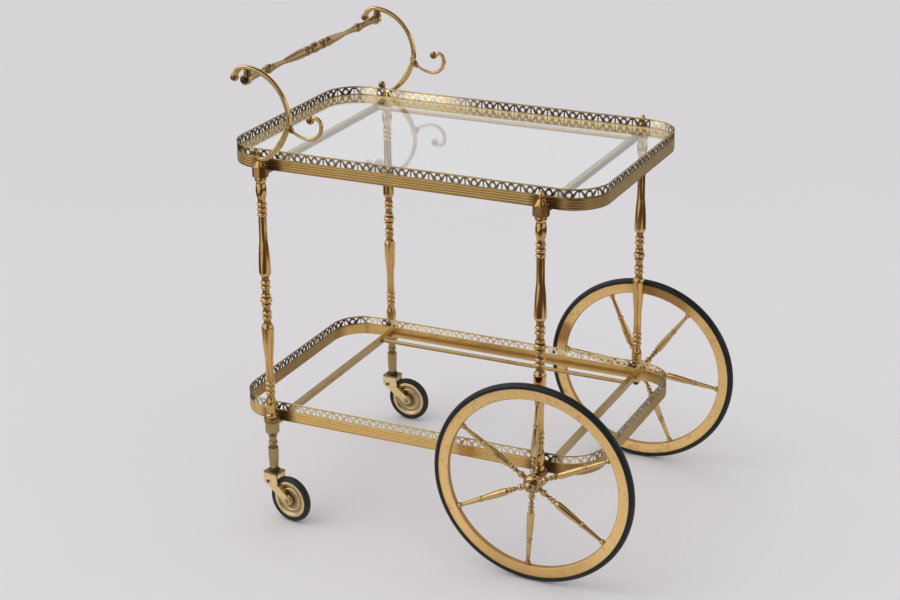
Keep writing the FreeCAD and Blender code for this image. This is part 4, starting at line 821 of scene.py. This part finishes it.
# %% Turn the spindles
LEG_X = {"handle": -266.5, "wheel": WHEEL_X}
LEG_Y = {"front": -207.0, "rear": 207.0}
SPINDLE_MIDDLE, SPINDLE_HALF = 366.1, 195.9
NECK = 5.9
half_spindle = outline([
    (8.7, 0.0), (NECK, 4.6, 1.6, BELLY), (NECK, 5.2), (NECK, 9.8, 1.6, BEAD), (5.6, 12.0),
    (5.6, 16.0), (NECK, 18.3), (NECK, 23.3, 1.8, BEAD), (NECK, 26.3), (NECK, 31.3, 1.8, BEAD),
    (5.5, 34.5), (NECK, 37.7), (9.4, 45.0, 0.8, BELLY), (6.4, 96.2, 0.8, BELLY), (6.2, 134.9),
    (NECK, 134.9), (NECK, 139.9, 1.8, BEAD), (NECK, 142.9), (NECK, 147.9, 1.8, BEAD), (NECK, 150.9),
    (NECK, 155.9, 1.8, BEAD), (6.2, 162.0), (7.0, 186.5, 1.8, BELLY), (8.6, 190.5, -0.4, BELLY),
    (8.6, SPINDLE_HALF, 0.3, BELLY), (0.0, SPINDLE_HALF),
])
for side, y in LEG_Y.items():
    for end, x in LEG_X.items():
        column = turned(mirrored(half_spindle), (x, y, SPINDLE_MIDDLE), (0, 0, 1))
        fit_piece(f"turned_spindle_{side}_{end}", [column], turned_brass,
                  "cart_frame", "turned_brass", f"spindle_{side}_{end}")

# %% [markdown]
# ## Caster feet
# Each leg at the handle end goes on below the tray as a cup, a slim neck with one bead and a
# long belly. The outline also runs into the socket that takes the caster's stem, so the piece
# is hollow where the real one is.

# %% Turn the feet
foot_line = outline([
    (0.0, 111.9), (4.05, 111.9), (4.05, 83.9), (6.5, 83.9), (6.9, 84.4), (8.2, 119.2, 0.45, BELLY),
    (6.0, 119.8), (5.8, 122.0), (6.0, 124.8), (6.0, 129.8, 1.4, BEAD), (5.8, 133.0), (6.0, 134.5),
    (11.2, 146.6, -1.4, BELLY), (11.2, 162.7), (10.7, 163.2), (3.0, 163.2), (3.0, 187.2), (0.0, 187.2),
])
for side, y in LEG_Y.items():
    foot = turned(foot_line, (LEG_X["handle"], y, 0.0), (0, 0, 1))
    fit_piece(f"turned_foot_{side}", [foot], foot_brass,
              "cart_frame", "turned_brass", f"caster_foot_{side}")

# %% [markdown]
# ## Spokes
# Six thin turnings run from the hub to the rim of each wheel. One outline is placed along six
# directions. The two wheels stand at different angles in the photograph.

# %% Turn the spokes
SPOKES, WHEEL_Y = 6, 231.0
WHEEL_TURN = {"front": 57.0, "rear": 24.0}
spoke_line = outline([
    (0.0, 9.0), (2.5, 9.0), (2.5, 14.0), (3.6, 14.0), (3.6, 18.0), (3.4, 25.0, 1.7, BEAD), (2.5, 27.0),
    (2.5, 31.0), (3.2, 31.5), (3.2, 34.5, 1.0, BEAD), (2.7, 35.5), (3.2, 37.5), (3.2, 41.5, 1.5, BEAD),
    (2.8, 42.3), (5.6, 51.0, 0.9, BELLY), (4.0, 89.5, 0.6, BELLY), (3.9, 90.5), (3.9, 94.5, 1.2, BEAD),
    (3.8, 95.0), (2.7, 126.5, 0.3, BELLY), (2.7, 128.0), (2.9, 134.0, 1.8, BEAD), (2.5, 134.0),
    (2.5, 139.0), (0.0, 139.0),
], samples=9)
for side, turn in WHEEL_TURN.items():
    hub = (WHEEL_X, np.sign(LEG_Y[side]) * WHEEL_Y, AXLE_HEIGHT)
    angles = np.radians(np.arange(SPOKES) * 360.0 / SPOKES - turn)
    rods = [turned(spoke_line, hub, (np.sin(a), 0, np.cos(a)), around=24) for a in angles]
    fit_piece(f"turned_spokes_{side}", rods, spoke_brass,
              f"{side}_wheel", "turned_brass", f"{side}_wheel_spokes")

# %% [markdown]
# ## Handle bar
# The bar is turned from one rod: a middle barrel between beads, two bellies that taper quickly,
# a ball between two rings on each slim neck, and plain ends in the brackets' eyes.

# %% Turn the bar
BAR_X, BAR_Z = -282.88, 708.96
half_bar = outline([
    (8.2, 0.0), (6.0, 10.5, 0.6, BELLY), (5.5, 11.2), (5.5, 15.4, 1.6, BEAD), (4.2, 17.0), (4.2, 20.0),
    (5.4, 21.0), (5.4, 29.0, 2.3, BEAD), (4.7, 30.0), (5.1, 30.6), (5.1, 34.6, 1.9, BEAD), (4.9, 35.6),
    (7.4, 43.0, 1.0, BELLY), (3.6, 98.0, 0.5, BELLY), (5.2, 131.0, -0.3, BELLY), (4.5, 131.6),
    (4.5, 134.6, 1.1, BEAD), (4.2, 135.6), (4.6, 136.5), (4.6, 148.0, 2.6, BEAD), (4.3, 149.0),
    (4.4, 149.6), (4.4, 153.4, 1.7, BEAD), (4.6, 154.4), (5.6, 195.0), (5.6, 202.5, 1.0, BEAD),
    (4.0, 202.5), (4.0, 215.5), (0.0, 215.5),
])
bar = turned(mirrored(half_bar), (BAR_X, 0.0, BAR_Z), (0, 1, 0), around=40)
fit_piece("turned_handle_bar", [bar], handle_brass, "cart_frame", "turned_brass", "handle_bar")

# %% [markdown]
# ## Scroll brackets
# Each bracket is one casting: a strip that runs from a curled heel over the leg, sweeps out and
# back over the bar and ends in a ball, and a branch that curls the other way. A strip is a
# section carried along a path. The path is given by bends (radius, turn), which means that its
# heading is the running sum of its curvature, and its points the running sum of its heading.

# %% Path and strip
PATH_STEP = 0.5
SIDE_GROOVE, SIDE_GROOVE_REACH, SIDE_GROOVE_DIRT = 0.20, 0.30, 0.55


def bend_path(start, heading, bends):
    """Points and headings of a path in the upright plane, in mm, from bends (radius, turn in
    degrees): heading = start heading + sum of step / radius, points = sum of step x heading."""
    lengths = [abs(radius * np.radians(turn)) for radius, turn in bends]
    along_path = np.arange(0, sum(lengths), PATH_STEP)
    radius = np.array([np.sign(turn) * radius for radius, turn in bends])
    bend = np.searchsorted(np.cumsum(lengths), along_path, side="right").clip(0, len(bends) - 1)
    curvature = 1 / radius[bend]
    heading = np.radians(heading) + np.cumsum(curvature * PATH_STEP) - curvature * PATH_STEP / 2
    steps = PATH_STEP * np.column_stack([np.cos(heading), np.sin(heading)])
    return np.array(start) + np.vstack([[0, 0], np.cumsum(steps, 0)]), np.r_[heading, heading[-1]]


def two_way_path(start, first_bends, second_bends):
    """A path that passes level through a start: the first bends run backwards, the second forwards."""
    back, back_heading = bend_path(start, 180, first_bends)
    ahead, ahead_heading = bend_path(start, 0, second_bends)
    path = np.concatenate([back[::-1], ahead[1:]])
    return path, np.concatenate([back_heading[::-1] - np.pi, ahead_heading[1:]])


def strip(points, heading, wide, deep, leg, around=24):
    """Carry an oval section along a path: across the path by wide, to the sides by deep, with a
    shallow groove along both sides: radius x (1 - 0.2 x groove), groove = exp(-(cos a / 0.3)^2)."""
    angle = np.linspace(0, 2 * np.pi, around, endpoint=False)
    groove = np.exp(-(np.cos(angle) / SIDE_GROOVE_REACH) ** 2)
    size = 1 - SIDE_GROOVE * groove
    across = wide[:, None] * (np.cos(angle) * size)
    sideways = deep[:, None] * (np.sin(angle) * size)
    normal = np.column_stack([-np.sin(heading), np.cos(heading)])
    flat = points[:, None] + across[..., None] * normal[:, None]
    solid = np.stack([leg[0] + flat[..., 0], leg[1] + sideways, flat[..., 1]], -1)
    closed = np.concatenate([solid[:1].mean(1, keepdims=True).repeat(around, 1), solid,
                             solid[-1:].mean(1, keepdims=True).repeat(around, 1)])
    return shell(closed, groove=SIDE_GROOVE_DIRT * groove[None, :])


def ball(centre, radius, leg):
    """A turned ball: radius x sin t against -radius x cos t, about the axis along the bar."""
    t = np.linspace(0, np.pi, 17)
    line = np.column_stack([radius * np.sin(t), -radius * np.cos(t)])
    return turned(line, (leg[0] + centre[0], leg[1], centre[1]), (0, 1, 0), around=24)


BRACKET_FOOT, BRANCH_FOOT = (4.0, 589.6), (85.0, 629.0)
main_path, main_heading = two_way_path(
    BRACKET_FOOT, [(12, -78)], [(15, 36), (102, 38), (28, 16), (72, 86), (20, 84)])
branch_path, branch_heading = two_way_path(BRANCH_FOOT, [(46, -44)], [(21, 100), (10, 130)])
print("the strip is", round(len(main_path) * PATH_STEP), "mm long")

# %% [markdown]
# The strip is thick in its lower bow and at its tip, where it runs into a ball, and slim elsewhere.
# The eye is a short tube with rounded edges, and a small waisted web hangs it under the strip; the web
# is darkened as painted shade. A small leaf covers the place where the branch leaves the strip, half
# darkened as painted shade.

# %% Cast the brackets
TIP_BALL, HEEL_BALL, BRANCH_BALL = 6.5, 6.2, 6.4
EYE_BORE, EYE_EDGE, EYE_OUT = 4.06, 7.2, 8.5
BRANCH_DEPTH = 1.05
WEB_OFFSET = np.array([2.5, 0.0, 0.0])
share = np.linspace(0, 1, len(main_path))
main_wide = np.interp(share, [0, 0.05, 0.12, 0.25, 0.42, 0.62, 0.80, 0.88, 1.0],
                      [3.0, 3.2, 3.7, 4.8, 3.7, 3.3, 3.7, 3.4, 5.0])
main_deep = np.interp(share, [0, 0.12, 0.3, 0.6, 1.0], [3.4, 4.4, 5.2, 4.6, 4.6])
branch_share = np.linspace(0, 1, len(branch_path))
branch_wide = np.interp(branch_share, [0, 0.2, 0.55, 0.85, 1.0], [2.2, 2.0, 3.1, 3.0, 2.6])
eye_line = outline([
    (EYE_BORE, -4.5), (EYE_EDGE, -4.5), (EYE_OUT, -3.6, 0.2, BELLY), (EYE_OUT, 3.6),
    (EYE_EDGE, 4.5, 0.2, BELLY), (EYE_BORE, 4.5), (EYE_BORE, -4.5),
])
web_line = outline([(0.0, 5.0), (7.0, 5.0), (5.6, 10.5, -0.3, BELLY), (4.6, 15.5), (0.0, 15.5)])
leaf_line = outline([(0.0, -12.0), (5.4, 0.0, 0.9, BELLY), (0.0, 12.0, 0.9, BELLY)])
# Painted shade on the web under the strip, and lighter on the leaf between the strip and its branch
web_shade = np.full(len(web_line), 0.80)
leaf_shade = np.full(len(leaf_line), 0.55)
for side, y in LEG_Y.items():
    leg = (LEG_X["handle"], y)
    eye_centre = np.array([BAR_X, y, BAR_Z])
    leaf_spot = (leg[0] + branch_path[0][0], y, branch_path[0][1])
    leaf_way = (np.cos(branch_heading[0]), 0, np.sin(branch_heading[0]))
    casting = [
        strip(main_path, main_heading, main_wide, main_deep, leg),
        strip(branch_path, branch_heading, branch_wide, branch_wide * BRANCH_DEPTH, leg),
        ball(main_path[-1], TIP_BALL, leg), ball(main_path[0], HEEL_BALL, leg),
        ball(branch_path[-1], BRANCH_BALL, leg),
        turned(eye_line, eye_centre, (0, 1, 0)),
        turned(web_line, eye_centre + WEB_OFFSET, (0, 0, 1), 24, web_shade),
        turned(leaf_line, leaf_spot, leaf_way, 24, leaf_shade),
    ]
    fit_piece(f"cast_scroll_{side}", casting, cast_brass, "cart_frame", "turned_brass", f"scroll_{side}")

# %% [markdown]
# ## Gallery wires
# The pierced gallery is stiffened by a round wire along its top edge and a flatter one along its
# foot. Each is an oval carried round the tray's outline: an oblong with quarter-round corners,
# which is one closed path.

# %% Carry the wires round the trays
TRAY_FEET = {"lower": LOWER_TRAY, "upper": LOWER_TRAY + TRAY_SPACING}
GALLERY_TOP, GALLERY_FOOT = 31.5, 18.1
TOP_WIDE, TOP_TALL, FOOT_WIDE, FOOT_TALL = 1.15, 1.1, 1.0, 0.7


def oblong_path(inset, per_corner=16):
    """Closed path round a rounded oblong, and its outward directions: four corner centres plus
    radius x (cos a, sin a), where the angle a runs once round."""
    angle = np.linspace(0, np.pi / 2, per_corner)[None, :] + np.arange(4)[:, None] * np.pi / 2
    outward = np.stack([np.cos(angle), np.sin(angle)], -1)
    sides = np.array([[1, 1], [-1, 1], [-1, -1], [1, -1]])[:, None]
    centres = sides * (np.array([TRAY_LENGTH, TRAY_DEPTH]) / 2 - TRAY_CORNER)
    path = centres + (TRAY_CORNER - inset) * outward
    return path.reshape(-1, 2), outward.reshape(-1, 2)


def wire_round_tray(height, wide, tall, around=10):
    """An oval section carried along the tray's closed path at one height."""
    path, outward = oblong_path(WALL_MIDDLE)
    angle = np.linspace(0, 2 * np.pi, around, endpoint=False)
    flat = path[:, None] + wide * np.cos(angle)[None, :, None] * outward[:, None]
    level = np.broadcast_to(height + tall * np.sin(angle), flat.shape[:2])
    return shell(np.stack([TRAY_X + flat[..., 0], flat[..., 1], level], -1), wrap_rows=True)


for tray, foot in TRAY_FEET.items():
    wires = [wire_round_tray(foot + GALLERY_TOP - TOP_TALL, TOP_WIDE, TOP_TALL),
             wire_round_tray(foot + GALLERY_FOOT, FOOT_WIDE, FOOT_TALL)]
    fit_piece(f"gallery_wires_{tray}", wires, wire_brass, "cart_frame", "tray_brass")

# %% [markdown]
# ## Glass pane
# The upper tray holds a pane level with the gallery's foot, the lower one is open. The pane is the
# tray's outline drawn in by the band's wall, with a ground edge on both faces. Its rings start and
# end in the middle of its faces, so the surface is closed. It is lifted by a tenth of a
# millimetre: two faces in exactly one plane would swallow the light between them.

# %% Lay the pane
PANE_FOOT, PANE_INSET, PANE_EDGE, PANE_THICK, PANE_LIFT = 580.0, 3.8, 0.8, 5.0, 0.1
FACE_MARGIN = 0.1


def pane(foot):
    """Rings round the tray: middle, edge of the lower face, side, edge of the upper face, middle.
    Everything between the two edges is ground, which is kept in the place of a groove's depth."""
    face = PANE_INSET + PANE_EDGE
    insets = [face + FACE_MARGIN, face, PANE_INSET, PANE_INSET, face, face + FACE_MARGIN]
    heights = [0, 0, PANE_EDGE, PANE_THICK - PANE_EDGE, PANE_THICK, PANE_THICK]
    ground = np.array([0, 0, 1, 1, 1, 1, 0, 0.0])
    paths = [oblong_path(inset)[0] + [TRAY_X, 0] for inset in insets]
    rings = [np.column_stack([path, np.full(len(path), foot + height)])
             for path, height in zip(paths, heights)]
    below, above = [np.tile([TRAY_X, 0, foot + height], (len(paths[0]), 1))
                    for height in (0, PANE_THICK)]
    return shell(np.array([below, *rings, above]), groove=ground[:, None])


fit_piece("glass_pane", [pane(PANE_FOOT + PANE_LIFT)], glass, "cart_frame", "glass", "upper_glass",
          crease=20)

# %% [markdown]
# ## Caster discs
# The caster wheels are pressed brass discs: a hub, a dish with one raised ring, and a rolled outer lip
# inside the tyre. A painted shade darkens the dish, so its groove depth is given from the radius. The
# rivet that closes each fork sits on both of its side plates, with painted shade in its hollow.

# %% Press the discs and set the rivets
SWIVEL = {"front": 10.0, "rear": 2.0}
CASTER_TRAIL, CASTER_RADIUS, FORK_HALF = 32.0, 37.5, 11.0
RIVET_BACK, RIVET_DROP, RIVET_HOLLOW = 4.0, 15.5, 2.75
half_disc = outline([
    (3.05, 0.0), (3.05, 8.2), (7.4, 8.2), (8.5, 7.2, 0.2, BELLY), (9.6, 3.2), (16.0, 2.6), (17.0, 2.6),
    (17.8, 3.6, 0.3, BELLY), (19.0, 2.6, 0.3, BELLY), (23.0, 2.6), (24.4, 4.0), (26.0, 4.75, 0.3, BELLY),
    (29.0, 4.75), (30.5, 4.2, 0.2, BELLY), (30.5, 0.0),
], samples=7)
disc_line = np.concatenate([half_disc, half_disc[::-1] * [1, -1]])
# Painted shade in the dish and round the hub, none on the raised ring and the outer lip
disc_shade = 0.85 * np.interp(disc_line[:, 0], [3, 8, 9, 15, 18, 20, 24, 25.5],
                             [0.2, 0.5, 1, 0.75, 0, 0.75, 0.6, 0])
rivet_line = outline([
    (0.0, -0.4), (4.2, -0.4), (4.2, 0.5), (3.4, 1.1, 0.2, BELLY), (2.7, 1.0), (2.5, 0.2), (0.0, 0.2),
])
# Painted shade in the rivet's hollow
rivet_hollow_shade = np.where(rivet_line[:, 0] < RIVET_HOLLOW, 0.95, 0.05)
for side, turn in SWIVEL.items():
    angle = np.radians(turn)
    axle_way = np.array([np.sin(angle), np.cos(angle), 0.0])
    trail_way = np.array([np.cos(angle), -np.sin(angle), 0.0])
    leg_foot = np.array([LEG_X["handle"], LEG_Y[side], 0.0])
    centre = leg_foot + CASTER_TRAIL * trail_way + [0, 0, CASTER_RADIUS]
    disc = turned(disc_line, centre, axle_way, groove=disc_shade)
    fit_piece(f"pressed_disc_{side}", [disc], disc_brass,
              f"{side}_caster_wheel", "pale_brass", f"{side}_caster_disc")
    rivet_spot = leg_foot - RIVET_BACK * trail_way + [0, 0, FORK_TOP - RIVET_DROP]
    rivets = [turned(rivet_line, rivet_spot + FORK_HALF * way, way, 20, rivet_hollow_shade)
              for way in (-axle_way, axle_way)]
    fit_piece(f"fork_rivets_{side}", rivets, disc_brass, f"{side}_caster_swivel", "pale_brass")

# %% [markdown]
# ## View transform
# The render shows its colours through the standard view transform.

# %% Set the view transform
bpy.context.scene.view_settings.view_transform = "Standard"
